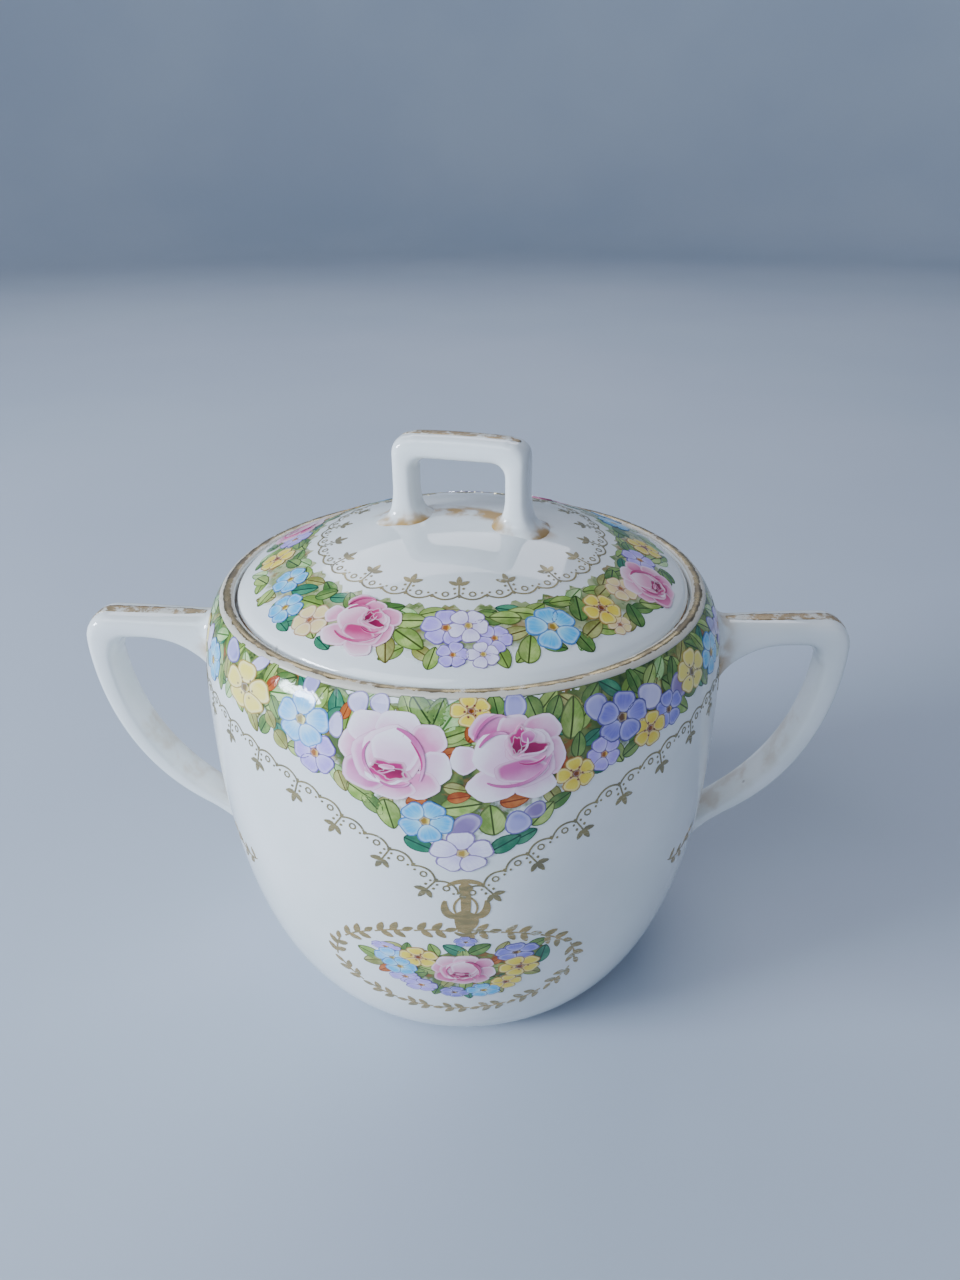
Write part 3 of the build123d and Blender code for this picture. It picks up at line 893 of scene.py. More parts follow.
def make_rose_enamel():
    """Roses are softer: pink in the folds, a pale rim, no dark outline."""
    material, tree, shader, place = new_finish("rose_enamel", 0.16, IOR=1.5)
    along, across, edge = grain_parts(tree)
    cloud = grain(tree, place, 420.0, 4.0)
    depth = plus(tree, along, times(tree, number(tree, "SUBTRACT", cloud, 0.5), 0.45))
    colour = mix_colours(tree, ramp(tree, depth, 0.98, 0.3), tint(tree, "body"),
        tint(tree, "heart"))
    pale = times(tree, ramp(tree, edge, 0.74, 0.93), 0.45)
    colour = mix_colours(tree, pale, colour, pigment("faf4f9"))
    fold = times(tree, ramp(tree, edge, 0.965, 1.0), 0.55)
    soft = ramp(tree, number(tree, "ABSOLUTE", across), 0.52, 1.0)
    colour = mix_colours(tree, number(tree, "MAXIMUM", fold, soft), colour, tint(tree, "ink"))
    finish_enamel(tree, shader, place, colour)
    return material


petal_enamel, leaf_enamel = make_petal_enamel(), make_leaf_enamel()
rose_enamel = make_rose_enamel()
bowl_wash_enamel = make_wash_enamel("bowl_wash_enamel", "4e6430", "7a8a48", "334a26", 0.9)
lid_wash_enamel = make_wash_enamel("lid_wash_enamel", "8f9c68", "b9bd92", "6c8048", 0.55)

# %% [markdown]
# ### Laying a sheet on the pot
# This tree bends a flat sheet over a form. On the bowl a point's x becomes
# an angle, and its y a distance down the outline. On the lid the sheet is
# round: its angle stays, and its distance from the middle is measured along
# the dome. The pattern is printed twice, front and back, so the tree also
# makes the copies.

# %% Laying tree
def build_laying_tree():
    tree, given, output = start_tree(
        "lay_on_form", ("Sheet", "Geometry"), ("Form", "Object"), ("Flat Radius", "Float"),
        ("Round", "Bool"),
        ("Turn", "Float"), ("Copies", "Int"), ("Material", "Material"))
    whole = add_node(tree, "GeometryNodeGeometryToInstance", {"Geometry": given["Sheet"]}).outputs[0]
    copies = add_node(tree, "GeometryNodeDuplicateElements",
        {"Geometry": whole, "Amount": given["Copies"]}, domain="INSTANCE")
    marked = add_node(tree, "GeometryNodeStoreNamedAttribute", {
        "Geometry": copies.outputs["Geometry"], "Name": "copy", "Value": copies.outputs["Duplicate Index"]},
        data_type="INT", domain="INSTANCE").outputs[0]
    sheets = add_node(tree, "GeometryNodeRealizeInstances", {"Geometry": marked}).outputs[0]
    copy = add_node(tree, "GeometryNodeInputNamedAttribute", {"Name": "copy"}, data_type="INT").outputs[0]
    flat = add_node(tree, "ShaderNodeSeparateXYZ",
        {0: add_node(tree, "GeometryNodeInputPosition").outputs[0]}).outputs
    back = times(tree, flat[1], -1.0)
    angle = add_node(tree, "GeometryNodeSwitch", {
        0: given["Round"], 1: number(tree, "DIVIDE", flat[0], given["Flat Radius"]),
        2: number(tree, "ARCTAN2", flat[0], back)},
        input_type="FLOAT").outputs[0]
    far = number(tree, "SQRT", plus(tree, times(tree, flat[0], flat[0]),
        times(tree, back, back)))
    down = add_node(tree, "GeometryNodeSwitch", {0: given["Round"], 1: back, 2: far},
        input_type="FLOAT").outputs[0]
    share = number(tree, "DIVIDE", times(tree, copy, 2 * pi), given["Copies"])
    turn = plus(tree, plus(tree, angle, given["Turn"]), share)
    form = add_node(tree, "GeometryNodeObjectInfo", {"Object": given["Form"]}).outputs["Geometry"]
    sample = add_node(tree, "GeometryNodeSampleCurve", {"Curves": form, "Length": down}, mode="LENGTH",
        use_all_curves=True)
    at = add_node(tree, "ShaderNodeSeparateXYZ", {0: sample.outputs["Position"]}).outputs
    way = add_node(tree, "ShaderNodeSeparateXYZ", {0: sample.outputs["Tangent"]}).outputs
    radius = number(tree, "SUBTRACT", at[0], times(tree, flat[2], way[2]))
    height = plus(tree, at[2], times(tree, flat[2], way[0]))
    laid = add_node(tree, "GeometryNodeSetPosition", {"Geometry": sheets,
        "Position": swing_round(tree, radius, turn, height)}).outputs[0]
    clean = add_node(tree, "GeometryNodeRemoveAttribute", {"Geometry": laid, "Name": "copy"}).outputs[0]
    finish_tree(tree, clean, given["Material"], output)
    return tree


laying = build_laying_tree()
bowl_form = draw_line("bowl_form", outer_wall[::-1])
lid_form = draw_line("lid_form", [(r, dome_height(r)) for r in np.linspace(0, shoulder[0], 60)])
BOWL_PRINT = {"Form": bowl_form, "Flat Radius": FLAT_RADIUS * MM, "Round": False, "Turn": radians(1.5),
    "Copies": 2}
LID_PRINT = {"Form": lid_form, "Flat Radius": FLAT_RADIUS * MM, "Round": True, "Turn": radians(1.5),
    "Copies": 2}


def lay(name, sheet, place, material):
    piece = grow(name, [(laying, {**place, "Material": material})], sheet.mesh(name + "_sheet"))
    print(name, "has", len(piece.data.polygons), "faces")
    return piece


# %% [markdown]
# ### The painter's strokes
# A flower is petals round a heart, a rose is lobes and strokes of deeper
# pink, and a leaf is one wafer. All are placed by angle and distance.

# %% Flowers and leaves
PETAL, PETALS = petal_outline(), 5
BLOSSOMS = {   # body, heart, ink, then the colours of the middle
    "primrose": ("f8e66e", "f4e084", "a08430", "e6d266", "7d6a44"),
    "sky": ("40b0ea", "9cdef2", "2468ac", "f6de60", "9a7a2c"),
    "pale_sky": ("6cc0f8", "bfe8fc", "3c7cc8", "f6ec88", "9a8a4c"),
    "lilac": ("ae9aea", "cbbcf4", "55389a", "f2c43c", "a0602c"),
    "white": ("ebe6f8", "cdbfe8", "6c4a94", "ead682", "b09040"),
    "violet": ("7f7ad0", "a5a0e4", "3f3482", "d8b860", "6a4a34"),
    "yellow": ("f2dc50", "e6c038", "96682a", "cc8c24", "7a3a14"),
    "cream": ("f0dc98", "e8c496", "b0845c", "dcb070", "9a6040"),
}
LEAVES = {
    "fresh": ("84a848", "b6cc74", "3c4c1c"),
    "deep": ("52803c", "86a456", "28401c"),
    "olive": ("949a48", "bfc078", "55481f"),
    "teal": ("2a7858", "559a72", "123f34"),
    "pale": ("a4cf84", "d0e6a8", "46702f"),
    "rust": ("a94a1c", "cc7a3c", "7a2f10"),
}


def flower(sheet, place, size, kind, turn, lift, dots):
    """Petals round a small middle; size is half the width and height."""
    (spot, swing), (wide, high) = place, size
    body, heart, ink, middle, mark = BLOSSOMS[kind]
    for k in range(PETALS):
        spin = turn_by(swing) @ np.diag((wide,
            high)) @ turn_by(turn + 360.0 * k / PETALS + 5 * sin(7.3 * k + turn))
        spin = spin @ np.diag((1.0 + 0.06 * sin(5.1 * k + turn), 1.0))
        sheet.wafer(*PETAL, spin, spot, lift + 0.008 * (k % 2), (body, heart, ink))
    spin = turn_by(swing) @ np.diag((wide, high))
    sheet.wafer(*blob_outline(0.12, 5, turn, 14), spin * 0.19, spot, lift + 0.022, (middle, mark, mark))
    for k in range(dots):
        a = radians(turn + 360.0 * (k + 0.5) / dots)
        off = spin @ np.array((cos(a), sin(a))) * (0.34 + 0.07 * sin(3.0 * k))
        sheet.wafer(*blob_outline(0.1, 2, k, 7), np.eye(2) * 0.2, spot + off, lift + 0.026,
            (mark, mark, mark))


def leaf(sheet, place, length, turn, kind, width=0.3, lift=0.05):
    """A leaf centred on its place, its tip pointing along turn."""
    spot, swing = place
    spin = turn_by(swing + turn) * length
    sheet.wafer(*leaf_outline(width), spin, spot - spin @ np.array((0.5, 0.0)), lift, LEAVES[kind])


def blob(sheet, place, size, colours, turn=0.0, lift=0.1, lobes=3, wobble=0.07):
    spot, swing = place
    spin = turn_by(swing + turn) @ np.diag(size)
    sheet.wafer(*blob_outline(wobble, lobes, turn), spin, spot, lift, colours)


# %% Roses
PINKS = {   # body, heart, ink
    "white": ("f7eff5", "ecc4dc", "dca0c4"),
    "blush": ("f4cfe2", "e48cb8", "cc78a8"),
    "pink": ("e8a2ca", "c8609c", "be689c"),
    "magenta": ("cc4088", "b22470", "e09cc0"),
    "deep": ("ac1c60", "8c104c", "cc5a90"),
}
LID_PINKS = {
    "white": ("f4d2de", "e49cb8", "cc7ca0"),
    "blush": ("ecaac4", "d46c98", "bc6490"),
    "pink": ("dc7ca4", "bc3c74", "b0507c"),
    "magenta": ("c83c78", "a41e5c", "d488ac"),
    "deep": ("a01c54", "801044", "bc4c80"),
}
# Each lobe: across, up, half width, half height, its tone. Drawn in order.
OPEN_ROSE = [
    (-0.8, 0.12, 0.34, 0.42, "blush"), (-0.55, 0.58, 0.42, 0.4, "white"),
    (0.05, 0.7, 0.46, 0.34, "white"), (0.62, 0.44, 0.36, 0.36, "blush"),
    (0.76, -0.2, 0.3, 0.42, "white"), (0.42, -0.62, 0.42, 0.36, "blush"),
    (-0.08, -0.74, 0.46, 0.3, "blush"), (-0.6, -0.46, 0.48, 0.44, "pink"),
    (-0.3, -0.06, 0.58, 0.64, "pink"), (-0.06, 0.06, 0.6, 0.66, "blush"),
    (0.0, 0.16, 0.48, 0.5, "white"), (-0.2, -0.4, 0.42, 0.28, "white"),
    (-0.14, -0.34, 0.42, 0.28, "magenta"), (-0.06, -0.38, 0.26, 0.16, "deep"),
    (-0.34, -0.28, 0.13, 0.1, "deep"), (-0.16, -0.24, 0.16, 0.06, "blush"),
]
OPEN_STROKES = [
    ([(0.02, 0.66), (0.34, 0.46), (0.52, 0.06), (0.46, -0.52)], 0.12, "pink"),
    ([(0.3, 0.4), (0.42, 0.2), (0.5, -0.04), (0.48, -0.26)], 0.06, "magenta"),
    ([(-0.5, 0.3), (-0.62, 0.0), (-0.56, -0.3), (-0.38, -0.56)], 0.07, "pink"),
    ([(-0.4, -0.36), (-0.24, -0.4), (-0.12, -0.34), (0.0, -0.3)], 0.035, "blush"),
    ([(-0.3, -0.62), (-0.1, -0.7), (0.12, -0.68), (0.28, -0.56)], 0.07, "pink"),
]
SIDE_ROSE = [
    (-0.96, 0.06, 0.28, 0.34, "white"), (-0.42, 0.72, 0.44, 0.38, "pink"),
    (0.05, 0.74, 0.36, 0.3, "blush"), (0.6, 0.62, 0.42, 0.36, "blush"),
    (0.82, 0.0, 0.26, 0.46, "blush"), (0.44, -0.66, 0.44, 0.34, "white"),
    (-0.42, -0.6, 0.5, 0.4, "white"), (0.28, -0.12, 0.6, 0.56, "pink"),
    (-0.34, 0.16, 0.46, 0.52, "white"), (0.34, 0.26, 0.5, 0.44, "blush"),
    (0.16, -0.26, 0.56, 0.3, "pink"), (0.26, 0.36, 0.42, 0.36, "blush"),
    (0.16, 0.42, 0.24, 0.34, "magenta"), (0.42, 0.24, 0.32, 0.15, "deep"),
    (0.08, 0.36, 0.1, 0.2, "deep"), (0.32, 0.52, 0.16, 0.15, "pink"),
]
SIDE_STROKES = [
    ([(-0.52, -0.5), (-0.1, -0.62), (0.42, -0.48), (0.78, 0.02)], 0.08, "pink"),
    ([(-0.76, 0.5), (-0.6, 0.84), (-0.34, 1.02), (-0.1, 0.98)], 0.07, "pink"),
    ([(-0.66, 0.36), (-0.5, 0.56), (-0.3, 0.66), (-0.1, 0.62)], 0.09, "pink"),
    ([(0.14, 0.18), (0.26, 0.26), (0.3, 0.38), (0.3, 0.5)], 0.05, "white"),
    ([(0.12, 0.08), (0.3, 0.12), (0.52, 0.12), (0.7, 0.24)], 0.06, "white"),
    ([(0.12, -0.06), (0.3, -0.12), (0.5, -0.1), (0.66, 0.02)], 0.07, "magenta"),
]


def rose(sheet, place, size, lobes, strokes, turn=0.0, lift=0.13, pinks=PINKS):
    """Overlapping lobes, each darker towards the middle, then the strokes."""
    spot, swing = place
    frame_ = turn_by(swing + turn) @ np.diag(size)
    for k, (x, y, wide, high, tone) in enumerate(lobes):
        outward = degrees(atan2(y, x))
        spin = frame_ @ np.diag((wide, high)) @ turn_by(outward)
        outline, middle = blob_outline(0.17 if tone in ("magenta", "deep") else 0.05, 5, 2.1 * k, 20)
        middle_spot = spot + frame_ @ np.array((x, y))
        sheet.wafer((outline + 1) / 2 * (1, 1) + (0, -0.5), (0.5, 0.0), spin * 2,
            middle_spot - spin @ np.array((1.0, 0.0)),
            lift + 0.009 * k, pinks[tone])
    for k, (line, width, tone) in enumerate(strokes):
        (a, b, c, d) = (frame_ @ np.array(p) + spot for p in line)
        path = [a] + bend(a, (-5 * a + 18 * b - 9 * c + 2 * d) / 6,
            (2 * a - 9 * b + 18 * c - 5 * d) / 6, d, 12)
        sheet.stroke(path, width * min(size), lift + 0.009 * len(lobes) + 0.006 * (k + 1), pinks[tone])


# %% [markdown]
# ### The bowl's garland
# Two roses sit side by side at the front. The garland hangs to a point
# below them and narrows towards the ears; a wash of leaf green fills the
# gaps between the flowers.

# %% Bowl garland: wash
GARLAND_EDGE = [
    (0, 27.0), (4, 25.4), (10, 21.6), (20, 17.0), (28, 14.6), (37, 12.6), (45, 11.0), (60, 9.6),
    (92, 9.0),
]


def table_value(table, at_):
    return np.interp(abs(at_), [row[0] for row in table], [row[1] for row in table])


def wash(angles, drops, where):
    """A thin closed carpet between two edges, as points, faces and grain."""
    rows = len(drops)
    sheet = EnamelSheet()
    points, grain_ = [], []
    for lift in (0.02, -BEDDING):
        for angle in angles:
            for part in drops:
                points.append((*where(angle, part), lift))
                grain_.append((part, 0.0, part))
    faces, layer = [], len(angles) * rows
    for i in range(len(angles) - 1):
        for j in range(rows - 1):
            a = i * rows + j
            quad = (a, a + 1, a + rows + 1, a + rows)
            faces += [quad, tuple(layer + k for k in quad[::-1])]
    rim = [i * rows for i in range(len(angles))] + [(len(angles) - 1) * rows + j for j in range(1, rows)]
    rim += [i * rows + rows - 1 for i in range(len(angles) - 2, -1, -1)] + list(range(rows - 2, 0, -1))
    faces += [(a, b, b + layer, a + layer) for a, b in zip(rim, rim[1:] + rim[:1])]
    sheet.add(points, faces, grain_)
    return sheet


HALF_ROUND = 89.85      # the front and back sheets stop just short of each other


def garland_spot(angle, part):
    low = table_value(GARLAND_EDGE, angle - 1) - 1.4 + 0.8 * sin(angle * 0.83) + 0.5 * sin(angle * 2.1 + 1)
    return on_bowl(angle, 0.1 + (low - 0.1) * part)[0]


bowl_wash = wash(np.linspace(-HALF_ROUND, HALF_ROUND, 181), np.linspace(0, 1, 14), garland_spot)

# %% Bowl garland: flowers
bowl_petals, bowl_leaves, bowl_roses = EnamelSheet(), EnamelSheet(), EnamelSheet()
VIOLET_BLOB, LILAC_BLOB, MAUVE_BLOB = ("8f8cca", "a9a5da", "5c529a"), ("b9b2e0", "cfc9ec",
    "6d5c9c"), ("9a86b8", "8a74a8", "6d5c9c")
for angle, drop, size, kind, turn, lift, dots in [
    (-46.5, 5.7, (6.3, 4.0), "primrose", 95, 0.13, 6),
    (-30.3, 6.3, (5.0, 4.3), "pale_sky", 88, 0.15, 0),
    (-27.0, 10.9, (3.9, 3.9), "lilac", 250, 0.11, 0), (-63.0, 6.6, (4.0, 3.6), "sky", 60, 0.12, 0),
    (-76.0, 6.4, (4.2, 3.4), "yellow", 20, 0.12, 5), (2.9, 1.9, (3.2, 2.4), "yellow", 35, 0.1, 6),
    (-5.8, 19.2, (4.2, 3.9), "sky", 62, 0.15, 0), (0.9, 25.0, (4.9, 4.0), "white", 90, 0.14, 0),
    (32.2, 6.4, (4.9, 4.1), "violet", 75, 0.13, 0), (27.8, 11.3, (3.1, 3.0), "lilac", 40, 0.12, 0),
    (22.0, 13.2, (3.3, 3.0), "yellow", 30, 0.14, 5), (38.9, 10.0, (3.6, 3.0), "yellow", 0, 0.13, 5),
    (44.5, 8.6, (3.6, 3.2), "violet", 20, 0.12, 0),
    (54.0, 5.4, (4.6, 3.6), "primrose", 15, 0.13, 6), (65.0, 6.0, (4.4, 3.6), "sky", 35, 0.13, 0),
    (77.0, 5.6, (4.0, 3.4), "lilac", 10, 0.12, 0),
]:
    flower(bowl_petals, on_bowl(angle, drop), size, kind, turn, lift, dots)
for angle, drop, size, colours, lift in [
    (-18.6, 1.8, (1.7, 1.7), LILAC_BLOB, 0.11), (-14.3, 1.5, (1.6, 1.5), LILAC_BLOB, 0.11),
    (-29.5, 1.0, (2.0, 1.4), VIOLET_BLOB, 0.08), (-44.0, 0.9, (2.4, 1.2), LILAC_BLOB, 0.08),
    (-54.5, 2.0, (2.6, 1.6), VIOLET_BLOB, 0.08), (-22.6, 5.7, (1.2, 2.0), LILAC_BLOB, 0.1),
    (11.0, 1.5, (2.2, 1.7), VIOLET_BLOB, 0.09), (1.2, 20.3, (3.2, 1.8), MAUVE_BLOB, 0.08),
    (11.0, 20.0, (2.1, 2.0), VIOLET_BLOB, 0.1), (14.2, 18.2, (1.8, 1.4), MAUVE_BLOB, 0.08),
    (27.0, 3.8, (2.0, 2.0), VIOLET_BLOB, 0.09), (39.8, 5.0, (2.6, 2.0), LILAC_BLOB, 0.09),
    (48.5, 6.0, (2.2, 2.0), MAUVE_BLOB, 0.09), (-69.5, 4.8, (2.4, 2.0), LILAC_BLOB, 0.1),
    (71.0, 3.4, (2.4, 1.6), VIOLET_BLOB, 0.1),
]:
    blob(bowl_petals, on_bowl(angle, drop), size, colours, 40 * angle, lift)
rose(bowl_roses, on_bowl(-10.9, 9.0), (7.6, 6.6), OPEN_ROSE, OPEN_STROKES)
rose(bowl_roses, on_bowl(10.1, 9.4), (7.2, 6.5), SIDE_ROSE, SIDE_STROKES)

# %% Bowl garland: leaves
for angle, drop, length, turn, kind, width in [
    (-9.3, 1.2, 3.4, 115, "fresh", 0.42), (-6.2, 2.0, 5.4, -52, "deep", 0.3),
    (-3.2, 2.0, 4.8, 68, "deep", 0.33), (-1.0, 2.9, 6.4, 55, "pale", 0.27),
    (-0.2, 5.2, 4.6, 18, "fresh", 0.28), (0.1, 6.9, 4.4, 12, "fresh", 0.3),
    (7.4, 1.2, 3.8, 100, "deep", 0.4), (14.4, 2.4, 4.2, -72, "deep", 0.4),
    (21.8, 4.5, 6.4, 78, "fresh", 0.32), (18.6, 2.6, 4.0, 60, "deep", 0.34),
    (22.6, 8.7, 4.2, 82, "deep", 0.3), (25.4, 8.0, 3.6, 30, "teal", 0.3),
    (34.4, 11.9, 4.2, 25, "deep", 0.3), (-40.2, 1.3, 4.8, 72, "fresh", 0.22),
    (-36.2, 1.6, 5.0, 24, "deep", 0.24), (-35.6, 3.6, 5.6, 12, "pale", 0.26),
    (-37.2, 6.2, 4.0, -55, "deep", 0.3), (-38.0, 8.4, 3.0, -50, "olive", 0.42),
    (-35.2, 10.9, 3.4, -40, "olive", 0.46), (-43.4, 9.8, 4.4, -60, "olive", 0.3),
    (-26.9, 2.4, 4.2, 62, "fresh", 0.36), (-23.2, 2.6, 4.2, 100, "teal", 0.34),
    (-22.9, 4.6, 3.8, 60, "teal", 0.4), (-20.2, 4.4, 3.8, 78, "fresh", 0.32),
    (-20.4, 7.8, 3.2, 40, "deep", 0.36), (-21.4, 14.4, 3.6, -70, "olive", 0.36),
    (-17.6, 15.6, 5.0, -30, "fresh", 0.36), (-12.4, 18.7, 5.4, -76, "fresh", 0.36),
    (-15.4, 17.4, 4.2, -48, "deep", 0.34), (0.7, 16.6, 6.2, 8, "fresh", 0.29),
    (-0.2, 13.6, 3.6, -10, "olive", 0.3), (6.3, 19.2, 5.6, 96, "fresh", 0.4),
    (3.4, 14.2, 3.6, 40, "deep", 0.3), (15.6, 19.0, 5.0, 48, "fresh", 0.33),
    (12.2, 22.6, 4.4, 25, "teal", 0.3), (18.8, 17.2, 4.2, 30, "deep", 0.3),
    (8.8, 23.6, 5.2, 30, "teal", 0.3), (-7.0, 23.6, 5.0, -25, "teal", 0.3),
    (-57.5, 7.6, 4.4, -80, "fresh", 0.3), (-55.0, 4.6, 4.4, 100, "olive", 0.26),
    (-52.6, 1.4, 4.0, 60, "fresh", 0.26), (-69.4, 7.6, 4.8, -50, "fresh", 0.3),
    (-69.0, 2.4, 4.6, 60, "deep", 0.28), (-82.0, 3.4, 5.0, 20, "fresh", 0.3),
    (-83.0, 7.6, 5.0, -20, "deep", 0.3), (-76.0, 1.6, 5.0, 5, "pale", 0.26),
    (-62.0, 1.7, 5.0, 20, "pale", 0.26), (47.6, 3.4, 5.0, 65, "deep", 0.3),
    (48.8, 9.3, 5.0, -40, "fresh", 0.3), (60.0, 2.2, 4.8, 120, "fresh", 0.26),
    (59.4, 8.0, 4.8, -60, "deep", 0.3), (71.0, 7.6, 4.8, -20, "fresh", 0.3),
    (83.4, 4.4, 5.0, 30, "deep", 0.3), (84.0, 8.4, 4.6, -30, "olive", 0.3),
    (41.0, 2.2, 4.6, 40, "fresh", 0.28), (36.6, 1.8, 4.4, 100, "deep", 0.3),
]:
    leaf(bowl_leaves, on_bowl(angle, drop), length, turn, kind, width,
        0.05 + 0.012 * (round(angle * 7) % 3))
KINDS = ("fresh", "deep", "pale", "fresh", "olive", "deep", "teal")
for k, angle in enumerate(np.arange(-88.0, 89.0, 4.4)):
    low = table_value(GARLAND_EDGE, angle - 1)
    leaf(bowl_leaves, on_bowl(angle, 1.9 + 0.5 * sin(2.3 * k)), 4.6,
        50 + 80 * (k % 2) + 12 * sin(3.1 * k), KINDS[k % 7], 0.28, 0.03)
    leaf(bowl_leaves, on_bowl(angle + 2, 4.9 + 0.5 * sin(1.9 * k)), 4.8,
        -35 + 90 * (k % 2) + 14 * sin(2.7 * k), KINDS[(k + 3) % 7], 0.3, 0.03)
    if abs(angle - 1) > 14:
        leaf(bowl_leaves, on_bowl(angle, low - 2.4), 4.4, -60 + 60 * (k % 3) * (-1 if angle > 0 else 1),
            KINDS[(k + 1) % 7], 0.32, 0.035)
for angle, drop, length, turn in [
    (3.5, 4.4, 4.4, 60), (-0.9, 8.0, 3.4, 20), (-7.2, 15.8, 3.4, 20), (10.4, 16.0, 4.4, 6),
    (-38.8, 2.8, 3.4, 50), (-20.8, 3.2, 3.0, 70), (19.4, 11.2, 3.2, 80), (0.4, 15.0, 3.4, 10),
]:
    leaf(bowl_leaves, on_bowl(angle, drop), length, turn, "rust", 0.3, 0.095)

# %% [markdown]
# ### The medallion
# A small posy on its own green ground sits low on the front. The gold wreath
# round it comes later, with the lace.

# %% Posy
POSY_REACH = 18.0       # half width of the posy, in degrees round the bowl
POSY_SWELL = 1.16       # its flowers overlap a little
for angle, drop, size, kind, turn, lift, dots in [
    (-14.4, 49.6, (3.0, 2.2), "pale_sky", 40, 0.1, 0),
    (-13.0, 51.6, (2.8, 2.1), "sky", 10, 0.13, 0), (-8.7, 48.3, (3.1, 2.3), "yellow", 25, 0.12, 4),
    (-12.2, 54.4, (2.6, 1.7), "lilac", 60, 0.11, 0), (-8.8, 56.3, (2.8, 1.7), "lilac", 5, 0.12, 0),
    (11.6, 47.4, (3.4, 2.0), "violet", 20, 0.11, 0),
    (12.6, 51.4, (3.4, 2.4), "yellow", 40, 0.12, 4), (9.8, 55.4, (2.6, 1.8), "yellow", 0, 0.11, 0),
    (5.0, 57.4, (2.8, 1.8), "sky", 30, 0.12, 0), (-1.6, 58.0, (2.4, 1.5), "violet", 70, 0.1, 0),
    (1.2, 43.9, (1.7, 1.1), "violet", 90, 0.1, 0), (-15.6, 46.9, (2.4, 1.0), "lilac", 0, 0.09, 0),
]:
    flower(bowl_petals, on_bowl(angle, drop), np.array(size) * POSY_SWELL, kind, turn, lift, dots)
rose(bowl_roses, on_bowl(0.9, 51.2), (4.9, 3.7), OPEN_ROSE, OPEN_STROKES, pinks=LID_PINKS)
for angle, drop, length, turn, kind in [
    (-19.6, 49.6, 4.6, 160, "fresh"), (-19.0, 51.6, 4.4, 200, "olive"),
    (-1.2, 45.9, 4.2, 150, "teal"), (4.0, 45.8, 4.2, 30, "deep"), (-5.4, 46.2, 3.4, 110, "fresh"),
    (-9.4, 52.9, 4.0, 200, "deep"), (-5.4, 57.4, 3.8, 250, "deep"),
    (-14.0, 46.6, 4.0, 170, "olive"), (-5.0, 49.0, 3.4, 60, "deep"), (17.4, 49.2, 4.6, 80, "teal"),
    (8.8, 46.0, 3.6, 60, "olive"), (15.4, 53.4, 4.0, 330, "olive"), (16.0, 46.0, 3.6, 20, "deep"),
    (8.2, 57.4, 3.6, 300, "olive"), (-16.6, 53.2, 3.4, 220, "rust"),
    (-6.6, 51.6, 4.0, 160, "fresh"), (8.0, 51.0, 4.0, 10, "fresh"), (1.0, 55.8, 4.0, 262, "fresh"),
    (-3.0, 55.2, 3.6, 235, "olive"), (5.0, 55.2, 3.6, 300, "fresh"), (0.6, 47.2, 3.6, 92, "fresh"),
    (7.6, 49.0, 3.0, 40, "rust"), (7.0, 54.8, 3.4, 320, "deep"), (1.6, 58.6, 3.4, 280, "teal"),
    (-11.0, 46.4, 3.0, 80, "deep"),
]:
    leaf(bowl_leaves, on_bowl(angle, drop), length, turn, kind, 0.32, 0.05)


def posy_spot(angle, part):
    """The green ground of the posy: a shallow bowl shape, flat on top."""
    deep = 11.4 * sqrt(max(0.03, 1 - ((angle - 0.5) / POSY_REACH) ** 2)) + 0.4 * sin(angle * 1.7)
    return on_bowl(angle, 46.9 + 0.5 * sin(angle * 1.1) + deep * part)[0]


posy_wash = wash(np.arange(-17, 18.1, 1.0), np.linspace(0, 1, 10), posy_spot)

# %% [markdown]
# ### The lid's garland
# The lid carries the same flowers in a narrower ring round its dome.

# %% Lid garland
lid_petals, lid_leaves, lid_roses = EnamelSheet(), EnamelSheet(), EnamelSheet()


def lid_spot(angle, part):
    inner = 27.3 + 0.7 * sin(angle * 0.57) + 0.4 * sin(angle * 1.6)
    outer = 37.2 + 0.6 * sin(angle * 0.71 + 2) + 0.35 * sin(angle * 1.9)
    return on_lid(angle, inner + (outer - inner) * part)[0]


lid_wash = wash(np.linspace(-HALF_ROUND, HALF_ROUND, 121), np.linspace(0, 1, 10), lid_spot)
for angle, reach, size, kind, turn, lift, dots in [
    (-85.4, 33.4, (3.8, 3.6), "yellow", 10, 0.13, 5), (-65.4, 31.6, (3.6, 3.4), "sky", 50, 0.13, 0),
    (-53.8, 35.4, (3.5, 3.3), "sky", 20, 0.14, 0), (-42.6, 35.0, (3.6, 3.5), "cream", 70, 0.12, 0),
    (-3.2, 31.4, (4.0, 3.6), "lilac", 90, 0.12, 0), (3.0, 31.0, (3.4, 3.4), "white", 60, 0.14, 0),
    (6.2, 36.4, (2.7, 2.4), "white", 30, 0.15, 0), (-1.0, 36.4, (2.6, 2.4), "lilac", 10, 0.15, 0),
    (9.6, 33.6, (2.9, 2.7), "lilac", 55, 0.13, 0), (26.1, 33.1, (4.5, 4.3), "sky", 92, 0.15, 0),
    (44.0, 32.6, (3.6, 3.4), "yellow", 30, 0.13, 5), (57.2, 31.4, (3.2, 3.0), "cream", 0, 0.12, 0),
    (81.0, 31.6, (3.6, 3.4), "lilac", 15, 0.13, 0), (44.5, 36.6, (2.4, 2.0), "cream", 10, 0.12, 0),
]:
    flower(lid_petals, on_lid(angle, reach), size, kind, turn, lift, dots)
rose(lid_roses, on_lid(-27.8, 32.9), (5.7, 5.1), SIDE_ROSE, SIDE_STROKES, turn=-8, pinks=LID_PINKS)
rose(lid_roses, on_lid(69.0, 34.0), (5.2, 4.8), OPEN_ROSE, OPEN_STROKES, turn=20, pinks=LID_PINKS)
